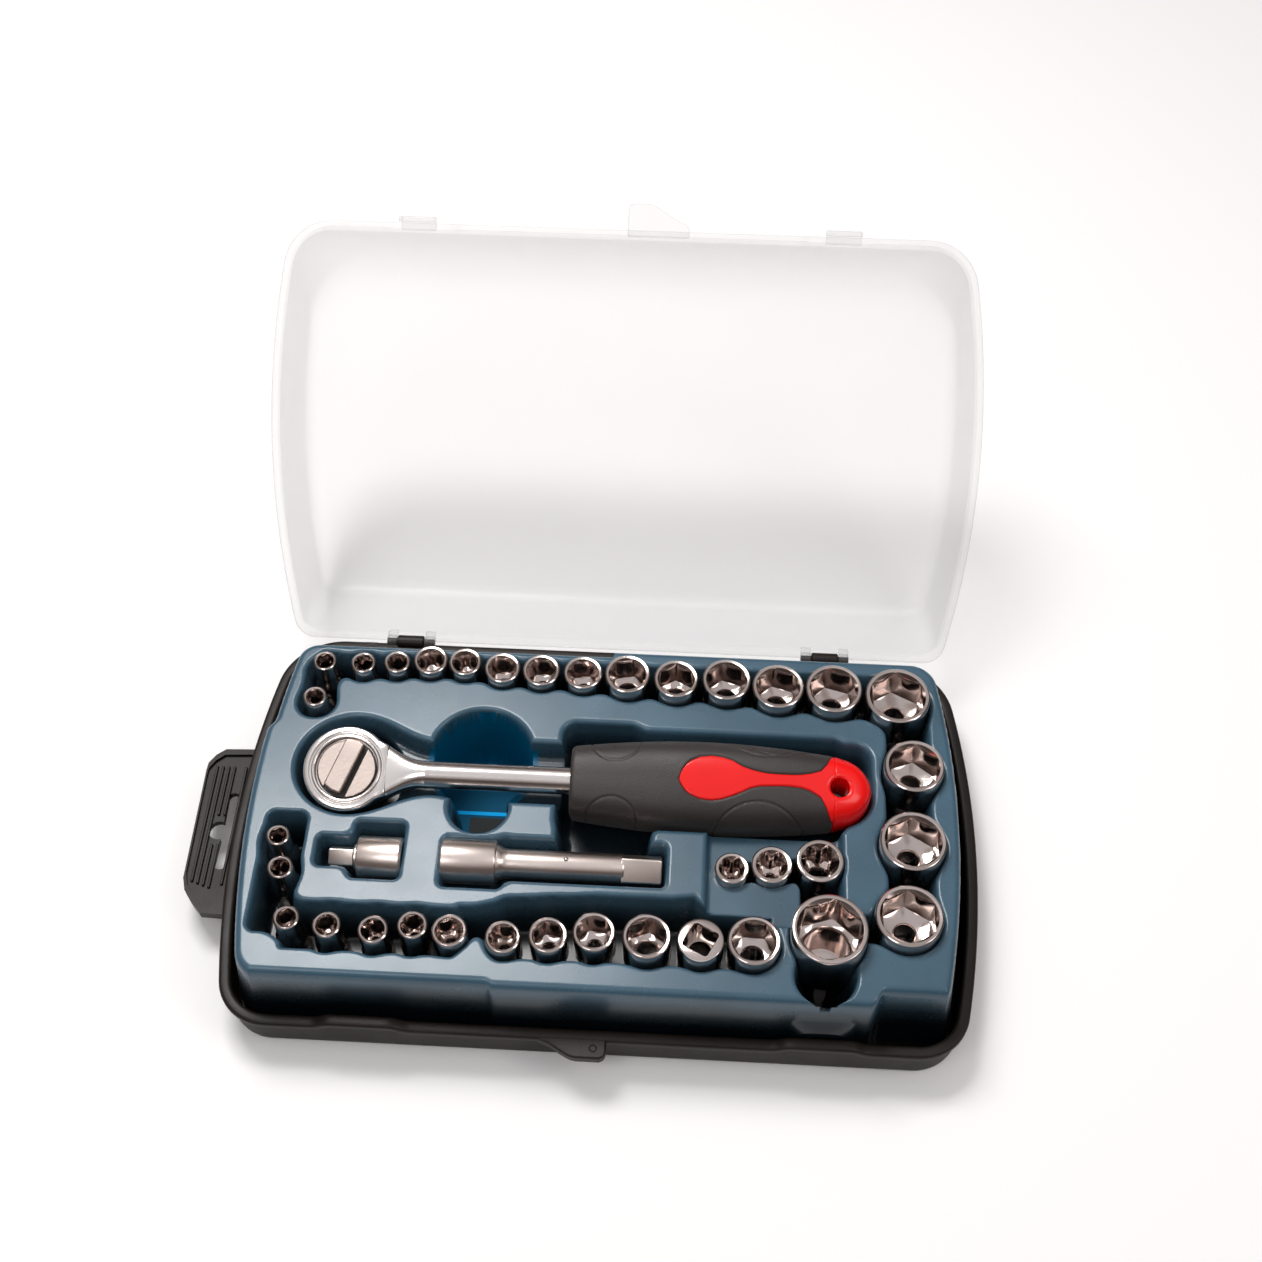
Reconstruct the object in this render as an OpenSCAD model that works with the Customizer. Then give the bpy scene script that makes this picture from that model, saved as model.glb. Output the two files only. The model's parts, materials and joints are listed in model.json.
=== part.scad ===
// Socket wrench set in a moulded case: black base, clear hinged lid, formed tray,
// ratchet wrench, extension bar, drive adapter and a full row of sockets.
// Millimetres. +X is to the right, +Y to the hinge, +Z up.
// The origin is the middle of the base's underside. The lid is drawn open.

/* [Case base] */
// Width of the case at its middle
case_w = 290; // [284:1:300]
// Depth of the case, front to back
case_d = 172; // [170:1:182]
// How far each side bows out between its corners
side_bow = 10; // [6:0.5:12]
// Radius of the four upright corners
corner_r = 20; // [16:0.5:24]
// Height of the rim above the ground
base_h = 20; // [19:0.5:24]
// Thickness of the base's floor
floor_t = 2; // [1.5:0.1:2.6]
// Height of the flange round the rim
rim_h = 3; // [2:0.2:4]
// Width of the rim's top face
rim_w = 4.6; // [4:0.1:5.2]
// How far the rim's flange overhangs the wall below it
rim_over = 2.2; // [1.4:0.1:2.6]

/* [Lid] */
// Depth of the lid, from its rim to the outside of its roof
lid_depth = 46; // [40:0.5:50]
// Thickness of the lid
lid_wall = 1.6; // [1.2:0.1:2]
// Gap between the open lid's back edge and the ground
ground_gap = 0.3; // [0.1:0.1:1]
// How far back the rounded front of the lid reaches
lid_front_run = 33; // [26:1:38]
// How far the back wall of the lid leans in
lid_back_run = 10; // [6:0.5:14]
// Radius along the back edge of the lid's roof
lid_round = 5; // [3:0.5:8]
// Height of the flange round the lid's rim
lid_rim_h = 2.5; // [2:0.1:3]
// Gap between the lid's rim and the base's rim
seam_gap = 0.3; // [0.2:0.05:0.6]

/* [Hinge] */
// Distance of each hinge from the middle of the case
hinge_x = 87; // [70:1:100]
// Length of the knuckle on the base
knuckle_w = 11; // [8:0.5:14]
// Length of each ear on the lid
ear_w = 4; // [3:0.5:6]
// Diameter of the hinge pin
hinge_pin_d = 3; // [2.4:0.1:3.4]
// Outside radius of the knuckles and ears
knuckle_r = 2.8; // [2.6:0.1:3.2]
// Distance of the hinge's axis behind the rim
hinge_out = 0.3; // [0.2:0.1:1]

/* [Latches and pull tabs] */
// Distance of each snap clip from the middle of the case
clip_x = 84.5; // [70:0.5:92]
// Width of a snap clip
clip_w = 14; // [10:0.5:18]
// Width of the raised seat under a clip
seat_w = 35; // [26:1:38]
// Height of the raised seat
seat_h = 1.5; // [1:0.1:2]
// How far the base's half of the pull tab stands out
base_tab_out = 6.5; // [4:0.5:9]
// How far the lid's half of the pull tab stands out
lid_tab_out = 11; // [7:0.5:13]

/* [Hanging tab] */
// Length of the hanging tab along the side of the case
hang_len = 74; // [60:1:90]
// How far the hanging tab stands out from the wall
hang_out = 19.5; // [16:0.5:24]
// Thickness of the hanging tab
hang_t = 4; // [3:0.2:5]
// Length of the display slot
slot_len = 34; // [30:0.5:36]
// Width of the display slot
slot_w = 4.6; // [4.4:0.1:5.4]
// Radius of the round bulge in the middle of the slot
slot_bulge_r = 4; // [3:0.2:5]

/* [Tray] */
// Height of the tray's top face
tray_top = 42.5; // [40:0.5:46]
// Thickness of the tray's sheet
tray_wall = 1.2; // [0.8:0.1:1.6]
// Distance of the tray's top edge inside the rim's outer edge
tray_inset = 11.4; // [10:0.2:12.6]
// Height at which the tray's outer wall starts to lean in
tray_skirt_h = 19; // [12:0.5:20]
// Height of the floor under the sockets
trench_floor = 20.5; // [18:0.5:22]
// Drop of the low platform under the star sockets
platform_drop = 5; // [3:0.5:7]
// Clearance round a socket in its pocket
pocket_clear = 0.6; // [0.4:0.1:0.9]
// Gap between a tool and the floor that it rests on
rest_gap = 0.2; // [0.1:0.05:0.4]
// Radius of the large finger hole
finger_r = 21; // [17:0.5:22]
// Radius of the small lobe of the finger hole
finger_lobe_r = 12.5; // [9:0.5:14]

/* [Sockets] */
// Size of the small square drive, a quarter of an inch
small_drive = 6.35; // [6.35:0.01:6.4]
// Size of the large square drive, three eighths of an inch
large_drive = 9.53; // [9.5:0.01:9.6]
// Length of a socket with the small drive
small_len = 25.4; // [24:0.2:28]
// Length of a socket with the large drive
large_len = 27; // [25:0.2:30]
// Diameter of the drive end of a small socket
small_base_d = 12; // [11:0.1:12.2]
// Diameter of the drive end of a large socket
large_base_d = 17; // [16:0.1:17.2]
// Chamfer on a socket's ends
socket_chamfer = 0.7; // [0.3:0.1:1]
// Hexagon of the spark plug socket, across its flats
plug_af = 20.8; // [16:0.1:21]
// Length of the spark plug socket
plug_len = 46; // [42:0.5:50]

/* [Ratchet wrench] */
// Height of the wrench's axis above the ground
wrench_z = 44; // [42:0.5:46]
// Distance of the wrench's axis behind the middle of the case
wrench_y = 8; // [6:0.5:10]
// Roll of the wrench in its pocket, its dial towards the front
wrench_roll = 16; // [0:1:20]
// Distance of the head's centre to the left of the middle
head_x = 98.5; // [98:0.5:103]
// Radius of the round head
head_r = 16.8; // [15:0.2:18]
// Thickness of the head
head_t = 17; // [15:0.5:19]
// Diameter of the shaft
shaft_d = 10.6; // [8:0.1:11]
// Left end of the grip, from the middle of the case
grip_start = 12.5; // [8:0.5:16]
// Length of the grip
grip_len = 114; // [100:1:116]
// Width of the grip at its belly
grip_w = 35; // [30:0.5:36]
// Height of the grip
grip_h = 29; // [24:0.5:30]
// Diameter of the hanging hole through the grip's end
hang_hole_d = 7; // [5:0.5:8]
// Radius of the reversing dial
dial_r = 11.6; // [10:0.2:12]
// Tilt of the dial's bar from square, clockwise
dial_tilt = 20; // [10:1:30]
// Number of teeth on the drive gear
gear_teeth = 24; // [16:2:36]

/* [Extension bar and adapter] */
// Height of the bars' axis above the ground
bar_z = 38; // [36:0.5:40]
// Distance of the bars' axis in front of the middle of the case
bar_y = 25.3; // [24:0.1:26]
// Diameter of the extension bar's socket end
bar_socket_d = 16.8; // [16:0.1:17]
// Diameter of the adapter's socket end
adapter_d = 16; // [15.5:0.1:16.6]
// Length of the extension bar's socket end
ext_socket_len = 21; // [16:0.5:24]
// Length of the extension bar
ext_len = 82.8; // [76:0.2:84]
// Diameter of the extension bar's shaft
ext_shaft_d = 11; // [9.6:0.1:12]
// Length of the large drive square
large_square_len = 14; // [10:0.5:15]
// Length of the adapter's body
adapter_len = 18; // [14:0.5:20]
// Length of the small drive square
small_square_len = 9.8; // [8:0.2:11]

/* [Hidden] */
// Each socket of a row: hexagon across the flats, gap to the socket on its left,
// and how far it stands behind its place against the row's wall.
back_row = [[6, 0, -1.5], [6.5, 3.5, -1.5], [7, 1.5, -0.5], [9.5, 0.5, 2], [9, 0.5, 1.5],
    [10, 1.5, 0], [10.5, 1, 0], [11, 1.5, 0], [13, 1, 0.5], [12.7, 1.5, -1],
    [14, 1.5, 0.5], [15, 0.5, -1], [16.5, 0.5, 0], [19, 1, -0.5]];
front_row = [[6.3, 0, 3.5], [7, 3, 1.5], [7.5, 5, 0.5], [7.5, 2, 3], [9, 1, 1],
    [9, 6.5, -0.5], [10, 2.5, 0.5], [11, 1.5, 2], [12.7, 2.5, -0.5], [12, 2, -0.5],
    [14, 1, -1]];
star_row = [[9, 0, -1], [11, 0.5, 0], [13, 1, 0.5]];
row_margin = 21; // from the case's edge to the wall of the row beside it
back_wall_y = case_d / 2 - row_margin;
front_wall_y = row_margin - case_d / 2;
star_wall_y = -30;
back_start_x = -115.2;
front_start_x = -111.2;
star_start_x = 49.7;
// Single sockets down the two sides: hexagon across the flats, and centre.
left_sockets = [[6, [-116.5, 40.4]], [5.6, [-120.1, -22.1]], [6.2, [-117, -35.3]]];
right_sockets = [[17, [118.3, 19.8]], [18.5, [116.6, -12.8]], [18.5, [113.9, -43.6]]];
plug_at = [85, front_wall_y + 13.5];
upside_down = 9; // the place in the front row whose socket stands on its open end

fine = 96; // sides of a large circle in the preview
coarse = 48; // sides of a small circle in the preview
eps = 0.01; // overlap that keeps cuts clean
tall = 100; // longer than any cut needs

hinge_y = case_d / 2 + hinge_out;
hinge_z = base_h + seam_gap;
pin_play = 0.06;
hinge_side_gap = 0.4;
bow_r = (pow(case_d / 2, 2) + pow(side_bow, 2)) / (2 * side_bow);
tray_gap = 0.5; // between the tray's skirt and the base's rim
skirt_inset = rim_w + tray_gap;
lid_inset = rim_over; // the lid's wall stands over the base's wall
lid_lean = lid_back_run - lid_inset;
lid_tilt = atan(lid_lean / lid_depth);
// Middle of the rounding between the lid's back wall and roof, seen from the hinge.
round_s = hinge_out + lid_inset + lid_lean + lid_round * (1 - tan(lid_tilt) / 2);
round_t = lid_depth - lid_round;
// The lid opens until that rounding meets the ground.
lid_open = atan2(round_s, round_t)
    + acos((lid_round + ground_gap - hinge_z) / norm([round_s, round_t]));
platform_top = tray_top - platform_drop;
star_floor = platform_top - (tray_top - trench_floor) + 0.5;
plug_floor = 4;
finger_floor = 4;
grip_drop = 3; // the grip's middle lies this far below the shaft's
grip_round = 9; // radius of the grip's long edges
grip_reach = (grip_drop + grip_h / 2 - grip_round) * cos(wrench_roll)
    + (grip_w / 2 - grip_round) * sin(wrench_roll) + grip_round;
grip_floor = wrench_z - grip_reach - rest_gap;
head_bottom = wrench_z + 5 - head_t;
head_top = wrench_z + 5;
square_out = 11; // how far the drive square stands out of the head
head_floor = head_bottom - square_out - 2;
trough_floor = wrench_z - 10;
bar_floor = bar_z - bar_socket_d / 2 - rest_gap;
drive_fit = 0.12; // clearance of a square drive in its socket, each side
run_fit = 0.05; // radial clearance of a part that turns in a bore
steel_gap = 0.3; // clearance between parts that don't touch
ball_d = 3;
spring_wire = 0.5;

// ---- sizes of a socket that follow from its hexagon ----

small_af_max = 11.5; // largest hexagon on a small drive square

function is_large(af) = af > small_af_max;
function nose_d(af) = 1.25 * af + 1.8;
function base_d(af) = is_large(af) ? large_base_d : small_base_d;
function body_r(af) = max(nose_d(af), base_d(af)) / 2;
function drive_of(af) = is_large(af) ? large_drive : small_drive;
function length_of(af) = is_large(af) ? large_len : small_len;

// ---- places of the sockets in a row ----

function row_x(row, start, i) = i == 0 ? start
    : row_x(row, start, i - 1) + body_r(row[i - 1][0]) + row[i][1] + body_r(row[i][0]);
// side is 1 for a row whose wall is behind it, -1 for one whose wall is in front
function row_y(row, wall, side, i) = wall - side * body_r(row[i][0]) + row[i][2];
function row_at(row, start, wall, side, i) =
    [row_x(row, start, i), row_y(row, wall, side, i)];
function back_at(i) = row_at(back_row, back_start_x, back_wall_y, 1, i);
function front_at(i) = row_at(front_row, front_start_x, front_wall_y, -1, i);
function star_at(i) = row_at(star_row, star_start_x, star_wall_y, -1, i);

// ---- outline of the case ----

// Bowed sides, straight front and back, round corners, taken in by inset.
module case_outline(inset, sides = fine) {
    half_w = case_w / 2 - inset;
    half_d = case_d / 2 - inset;
    big = bow_r - inset;
    round_r = max(corner_r - inset, 1);
    centre_x = half_w - big;
    corner_y = half_d - round_r;
    corner_x = centre_x + sqrt(pow(big - round_r, 2) - pow(corner_y, 2));
    tangent_y = corner_y * big / (big - round_r);
    intersection() {
        translate([centre_x, 0]) circle(r = big, $fn = 6 * sides);
        translate([-centre_x, 0]) circle(r = big, $fn = 6 * sides);
        square([2 * case_w, 2 * tangent_y], center = true);
    }
    square([2 * corner_x, 2 * half_d], center = true);
    for (x = [-corner_x, corner_x], y = [-corner_y, corner_y])
        translate([x, y]) circle(r = round_r, $fn = sides);
}

module slab(low, high, inset) {
    translate([0, 0, low]) linear_extrude(height = high - low) case_outline(inset);
}

// A block from its lowest and highest corners.
module block(low, high) {
    translate(low) cube(high - low);
}

// ---- base ----

seat_t = 1.7; // thickness of the raised seats on the rim
tab_t = 4.5; // thickness of the pull tab's halves

module base_tab() {
    front = -case_d / 2;
    translate([0, 0, base_h - tab_t]) linear_extrude(height = tab_t)
        polygon([[-19, front + 1], [-19, front], [-7, front - base_tab_out + 0.5],
            [-5, front - base_tab_out], [5, front - base_tab_out],
            [6.4, front - base_tab_out + 1.4], [6.4, front + 1]]);
}

module hang_tab() {
    wall_x = -(case_w / 2 - rim_over);
    y_mid = -4.5;
    top = base_h - rim_h - 1;
    half = hang_len / 2;
    difference() {
        translate([wall_x, y_mid, top - hang_t]) linear_extrude(height = hang_t)
            polygon([[3, half], [-hang_out + 7, half], [-hang_out + 1.5, half - 4],
                [-hang_out, half - 9], [-hang_out, -half + 13],
                [-hang_out + 6, -half + 2], [-hang_out + 8, -half], [3, -half]]);
        translate([wall_x - 6, y_mid, 0]) {
            for (y = [-1, 1]) translate([0, y * (slot_len - slot_w) / 2, 0])
                cylinder(d = slot_w, h = tall, $fn = coarse);
            block([-slot_w / 2, -(slot_len - slot_w) / 2, 0],
                [slot_w / 2, (slot_len - slot_w) / 2, tall]);
            translate([-3.4, 0, 0]) cylinder(r = slot_bulge_r, h = tall, $fn = coarse);
        }
    }
}

module knuckle(x) {
    translate([x - knuckle_w / 2, 0, 0]) {
        translate([0, hinge_y, hinge_z]) rotate([0, 90, 0])
            cylinder(r = knuckle_r, h = knuckle_w, $fn = coarse);
        block([0, case_d / 2 - rim_w, base_h - 8],
            [knuckle_w, hinge_y + knuckle_r - 1, hinge_z]);
    }
}

module base_shell() color([0.13, 0.12, 0.11]) {
    ear_x = knuckle_w / 2 + ear_w + 2 * hinge_side_gap;
    difference() {
        union() {
            difference() {
                union() {
                    slab(0, base_h - rim_h, rim_over);
                    slab(base_h - rim_h, base_h, 0);
                }
                slab(floor_t, tall, rim_w);
                for (x = [-hinge_x, hinge_x])
                    block([x - ear_x, hinge_y - knuckle_r - steel_gap,
                            base_h - rim_h - steel_gap],
                        [x + ear_x, tall, tall]);
            }
            for (x = [-hinge_x, hinge_x]) knuckle(x);
            for (x = [-clip_x, clip_x])
                block([x - seat_w / 2, -case_d / 2, base_h - 1],
                    [x + seat_w / 2, -case_d / 2 + seat_t, base_h + seat_h]);
            base_tab();
            hang_tab();
        }
        for (x = [-hinge_x, hinge_x]) translate([x - tall / 2, hinge_y, hinge_z])
            rotate([0, 90, 0]) cylinder(d = hinge_pin_d, h = tall, $fn = coarse);
    }
}

module hinge_pins() color([0.2, 0.19, 0.18]) {
    pin_len = knuckle_w + 2 * ear_w + 2 * hinge_side_gap;
    for (x = [-hinge_x, hinge_x]) translate([x - pin_len / 2, hinge_y, hinge_z])
        rotate([0, 90, 0]) cylinder(d = hinge_pin_d, h = pin_len, $fn = coarse);
}

// ---- lid, drawn closed about its hinge and then opened ----

// Side outline of the lid, taken in by t: straight leaning back, round front.
function lid_profile(t) = let (
        roof = lid_depth - t,
        back = hinge_out + lid_inset + t,
        round_r = max(lid_round - t, 1),
        front_a = lid_front_run - lid_inset - t,
        front_c = hinge_out + case_d - lid_front_run,
        centre_s = back + lid_lean * roof / lid_depth + round_r * (1 - tan(lid_tilt) / 2)
    ) concat(
        [[back, 0]],
        [for (i = [0:4]) let (a = 180 - lid_tilt - i * (90 - lid_tilt) / 4)
            [centre_s + round_r * cos(a), roof - round_r + round_r * sin(a)]],
        [for (a = [90 : -7.5 : 0]) [front_c + front_a * cos(a), roof * sin(a)]]
    );

module lid_block(t) {
    intersection() {
        rotate([90, 0, 90]) linear_extrude(height = 2 * case_w, center = true)
            polygon([for (p = lid_profile(t)) [-p[0], p[1]]]);
        translate([0, -hinge_y, 0]) linear_extrude(height = 2 * lid_depth)
            case_outline(lid_inset + t);
    }
}

module lid_clip(x) {
    front = -hinge_y - case_d / 2;
    clip_t = 2.2;
    reach = 4; // how far the clip hangs below the rim
    block([x - clip_w / 2, front - seam_gap - clip_t, -reach],
        [x + clip_w / 2, front - seam_gap, lid_rim_h + 1.5]);
    block([x - clip_w / 2, front - seam_gap - clip_t, lid_rim_h],
        [x + clip_w / 2, front + lid_inset + lid_wall / 2, lid_rim_h + 1.5]);
}

module lid_tab() {
    front = -hinge_y - case_d / 2;
    linear_extrude(height = tab_t)
        polygon([[-1, front + lid_inset], [-1, front - lid_tab_out + 2],
            [0.5, front - lid_tab_out], [8.5, front - lid_tab_out],
            [23, front - 2.5], [23, front + lid_inset]]);
}

module lid_ear(x) {
    wall_t = lid_inset + lid_wall;
    translate([x, 0, 0]) rotate([0, 90, 0]) cylinder(r = knuckle_r, h = ear_w, $fn = coarse);
    block([x, -hinge_out - wall_t, 0], [x + ear_w, knuckle_r, lid_rim_h * 2]);
}

module lid_closed() {
    seat_gap = 1;
    ear_x = knuckle_w / 2 + hinge_side_gap;
    difference() {
        union() {
            difference() {
                union() {
                    lid_block(0);
                    translate([0, -hinge_y, 0]) linear_extrude(height = lid_rim_h)
                        case_outline(0);
                }
                lid_block(lid_wall);
                translate([0, 0, -eps]) lid_floor_cut();
                for (x = [-clip_x, clip_x])
                    block([x - seat_w / 2 - seat_gap, -tall - case_d, -eps],
                        [x + seat_w / 2 + seat_gap, -hinge_y - case_d / 2 + lid_inset,
                            lid_rim_h + eps]);
                for (x = [-hinge_x, hinge_x])
                    block([x - ear_x, -hinge_out - lid_inset - 2 * steel_gap - eps, -tall],
                        [x + ear_x, tall, knuckle_r + steel_gap]);
            }
            for (x = [-clip_x, clip_x]) lid_clip(x);
            lid_tab();
            for (x = [-hinge_x, hinge_x]) {
                lid_ear(x + ear_x);
                lid_ear(x - ear_x - ear_w);
            }
        }
        for (x = [-hinge_x, hinge_x]) translate([x - tall / 2, 0, 0]) rotate([0, 90, 0])
            cylinder(d = hinge_pin_d + 2 * pin_play, h = tall, $fn = coarse);
    }
}

// The opening inside the lid's flange.
module lid_floor_cut() {
    translate([0, -hinge_y, 0]) linear_extrude(height = lid_rim_h)
        case_outline(lid_inset + lid_wall);
}

module lid_shell() color([0.9, 0.92, 0.94, 0.4])
    translate([0, hinge_y, hinge_z]) rotate([-lid_open, 0, 0]) lid_closed();

// ---- tray: a thin formed sheet with a pocket for each tool ----

// Outside of the tray, taken in by t on every side and at the top.
module tray_block(t) {
    slab(floor_t, tray_skirt_h - t, skirt_inset + t);
    hull() {
        slab(tray_skirt_h - t - eps, tray_skirt_h - t, skirt_inset + t);
        slab(tray_top - t - eps, tray_top - t, tray_inset + t);
    }
    translate([plug_at[0], plug_at[1] - 12.5, floor_t])
        cylinder(r = 12 + 2 * tray_wall - t, h = 28 - t, $fn = fine);
}

// A cut from floor z up through the top, grown by g all round.
module cut(z, g) {
    translate([0, 0, z - g]) linear_extrude(height = tall) children();
}

// A rectangle from two corners, grown by g.
module area(low, high, g) {
    translate(low - [g, g]) square(high - low + [2 * g, 2 * g]);
}

function well_r(af) = body_r(af) + pocket_clear;

// Pockets of a row: a scallop for each socket, joined by a straight trench.
module row_pockets(row, start, wall, side, far, first, last, g) {
    for (i = [first:last])
        translate(row_at(row, start, wall, side, i)) circle(r = well_r(row[i][0]) + g, $fn = fine);
    for (i = [first + 1:last]) {
        a = row_at(row, start, wall, side, i - 1);
        b = row_at(row, start, wall, side, i);
        inner = far == 0 ? min(a[1] - 0.7 * body_r(row[i - 1][0]), b[1] - 0.7 * body_r(row[i][0]))
            : far;
        outer = side == 1 ? wall + pocket_clear : max(a[1], b[1]) - 0.6 * body_r(row[i][0]);
        area([a[0], min(inner, outer)], [b[0], max(inner, outer)], g);
    }
}

module back_trench(g) {
    last = len(back_row) - 1;
    row_pockets(back_row, back_start_x, back_wall_y, 1, 0, 0, last, g);
    corner = back_at(0);
    left = left_sockets[0];
    right = right_sockets[0];
    translate(left[1]) circle(r = well_r(left[0]) + g, $fn = fine);
    area([min(corner[0], left[1][0]) - 4, left[1][1]], [corner[0] + 4, corner[1]], g);
    end = back_at(last);
    area([right[1][0] - 7, right[1][1]], [end[0] + body_r(back_row[last][0]), end[1]], g);
}

module right_trench(g) {
    for (s = right_sockets) translate(s[1]) circle(r = well_r(s[0]) + g, $fn = fine);
    for (i = [1:len(right_sockets) - 1]) {
        a = right_sockets[i - 1][1];
        b = right_sockets[i][1];
        area([b[0] - 7, b[1]], [b[0] + 11, a[1]], g);
    }
}

left_trench_y = -46; // far edge of the front trench, left of its divider
right_trench_y = -39; // and right of it

module front_trench_left(g) {
    row_pockets(front_row, front_start_x, front_wall_y, -1, left_trench_y, 0, 4, g);
    start = front_at(0);
    for (i = [1, 2]) translate(left_sockets[i][1])
        circle(r = well_r(left_sockets[i][0]) + g, $fn = fine);
    area([left_sockets[1][1][0] - 5.5, left_sockets[2][1][1]],
        [start[0], left_sockets[1][1][1] + 8], g);
    area([left_sockets[2][1][0] - 5, start[1]], [start[0], left_sockets[2][1][1]], g);
}

module front_trench_right(g) {
    row_pockets(front_row, front_start_x, front_wall_y, -1, right_trench_y, 5,
        len(front_row) - 1, g);
}

module star_pockets(g) {
    row_pockets(star_row, star_start_x, star_wall_y, -1, star_wall_y + 11, 0,
        len(star_row) - 1, g);
}

module plug_pocket(g) {
    translate(plug_at) circle(r = nose_d(plug_af) / 2 + pocket_clear + g, $fn = fine);
    translate(plug_at - [0, 10.5]) circle(r = 12 + g, $fn = fine);
}

module plug_link(g) {
    right = right_sockets[2][1];
    area([plug_at[0], plug_at[1] + 2], [right[0], right[1] - 1], g);
}

grip_back = 5.5; // room behind the grip in its pocket
grip_end_x = grip_len - grip_start;

module grip_pocket(g) {
    back = wrench_y + grip_w / 2;
    area([-grip_start - 5, wrench_y - grip_w / 2 - 0.8], [grip_end_x + 2, back + grip_back], g);
    area([-grip_start - 5, back], [14, back + grip_back + 6], g);
    area([-grip_start - 5, -bar_y], [19, wrench_y], g);
}

module head_pocket(g) {
    translate([-head_x, wrench_y + 4]) circle(r = head_r + 5.7 + g, $fn = fine);
}

module shaft_trough(g) {
    area([-head_x, wrench_y - 10.3], [-grip_start, wrench_y + 18], g);
}

finger_at = [-46.5, 19.5];
lobe_at = [-44, -2.5];

module finger_hole(g) {
    translate(finger_at) circle(r = finger_r + g, $fn = fine);
    translate(lobe_at) circle(r = finger_lobe_r + g, $fn = fine);
}

ext_left = 59; // left end of the extension bar, from the middle of the case
adapter_right = 73.5; // right end of the adapter, from the middle of the case
bar_room = 3; // room beside a bar in its pocket

module extension_pocket(g) {
    half = bar_socket_d / 2 + bar_room;
    area([-ext_left - bar_room, -bar_y - half], [-36, -bar_y + half], g);
    area([-37, -bar_y - half + 3], [-ext_left + ext_len + bar_room, -bar_y + half + 1], g);
}

module adapter_pocket(g) {
    half = bar_socket_d / 2 + bar_room;
    body_left = adapter_right + adapter_len + 1;
    area([-body_left, -bar_y - half], [-adapter_right + 2, -bar_y + half + 3], g);
    area([-body_left - small_square_len - bar_room - 3, -bar_y - 7],
        [-body_left + 1, -bar_y + 10], g);
}

platform_at = [40, -39.5]; // front left corner of the low platform
platform_past_plug = 6; // it ends this far to the right of the plug socket's middle

module platform(g) {
    area(platform_at, [plug_at[0] + platform_past_plug, wrench_y - grip_w / 2], g);
}

module tray_pockets(g) {
    cut(trench_floor, g) {
        back_trench(g);
        right_trench(g);
        front_trench_left(g);
        front_trench_right(g);
        plug_link(g);
    }
    cut(plug_floor, g) plug_pocket(g);
    cut(star_floor, g) star_pockets(g);
    cut(platform_top, g) platform(g);
    cut(grip_floor, g) grip_pocket(g);
    cut(head_floor, g) head_pocket(g);
    cut(trough_floor, g) shaft_trough(g);
    cut(finger_floor, g) finger_hole(g);
    cut(bar_floor, g) {
        extension_pocket(g);
        adapter_pocket(g);
    }
}

tray_colour = [0.3, 0.38, 0.45];

module tray_sheet() {
    difference() {
        tray_block(0);
        tray_pockets(0);
        difference() {
            translate([0, 0, -eps]) tray_block(tray_wall);
            tray_pockets(tray_wall);
        }
        translate([0, 0, floor_t - 1]) linear_extrude(height = 1 + eps)
            case_outline(skirt_inset + tray_wall);
    }
}

// The sheet is drawn as four nodes that meet edge to edge: the flat floor of the channel
// that the rows stand in, the rim outside it, and the island inside it in two halves.

module tray_channel() color(tray_colour) channel_block(trench_floor - tray_wall, tray_wall);

module channel_block(low, h) {
    translate([0, 0, low]) linear_extrude(height = h) difference() {
        union() {
            back_trench(0);
            right_trench(0);
            front_trench_left(0);
            front_trench_right(0);
            plug_link(0);
        }
        plug_pocket(tray_wall);
        star_pockets(tray_wall);
        head_pocket(tray_wall);
        finger_hole(tray_wall);
    }
}

// The loop through the middles of the sockets.
module island_loop() {
    linear_extrude(height = tall) polygon(concat(
        [for (i = [0:len(back_row) - 1]) back_at(i)],
        [for (s = right_sockets) s[1]],
        [plug_at],
        [for (i = [len(front_row) - 1:-1:0]) front_at(i)],
        [for (i = [len(left_sockets) - 1:-1:0]) left_sockets[i][1]]));
}

module tray_rim() color(tray_colour) difference() {
    tray_sheet();
    island_loop();
    channel_block(trench_floor - tray_wall - eps, tray_wall + 2 * eps);
}

island_split_x = -24; // the two halves meet on the bridge between the finger hole and the grip

module tray_island(side) color(tray_colour) difference() {
    intersection() {
        tray_sheet();
        island_loop();
        translate([side < 0 ? island_split_x - 2 * tall : island_split_x, -tall, 0])
            cube([2 * tall, 2 * tall, tall]);
    }
    channel_block(trench_floor - tray_wall - eps, tray_wall + 2 * eps);
}

label_t = 0.4;

module floor_label() color([0.05, 0.5, 0.72])
    translate([finger_at[0], finger_at[1], finger_floor])
        cylinder(r = finger_r - 1, h = label_t, $fn = fine);

// ---- sockets, drawn standing on their drive end at z = 0 ----

module hex_prism(af, h) {
    rotate([0, 0, 30]) cylinder(d = af / cos(30), h = h, $fn = 6);
}

module star_prism(af, h) {
    intersection() {
        union() for (a = [0, 60]) rotate([0, 0, a]) cylinder(d = af * 1.26, h = h, $fn = 3);
        cylinder(d = af * 1.12, h = h, $fn = coarse);
    }
    cylinder(d = af * 0.8, h = h, $fn = coarse);
}

module square_hole(size, h) {
    side = size + 2 * drive_fit;
    translate([-side / 2, -side / 2, -eps]) cube([side, side, h + eps]);
}

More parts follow.
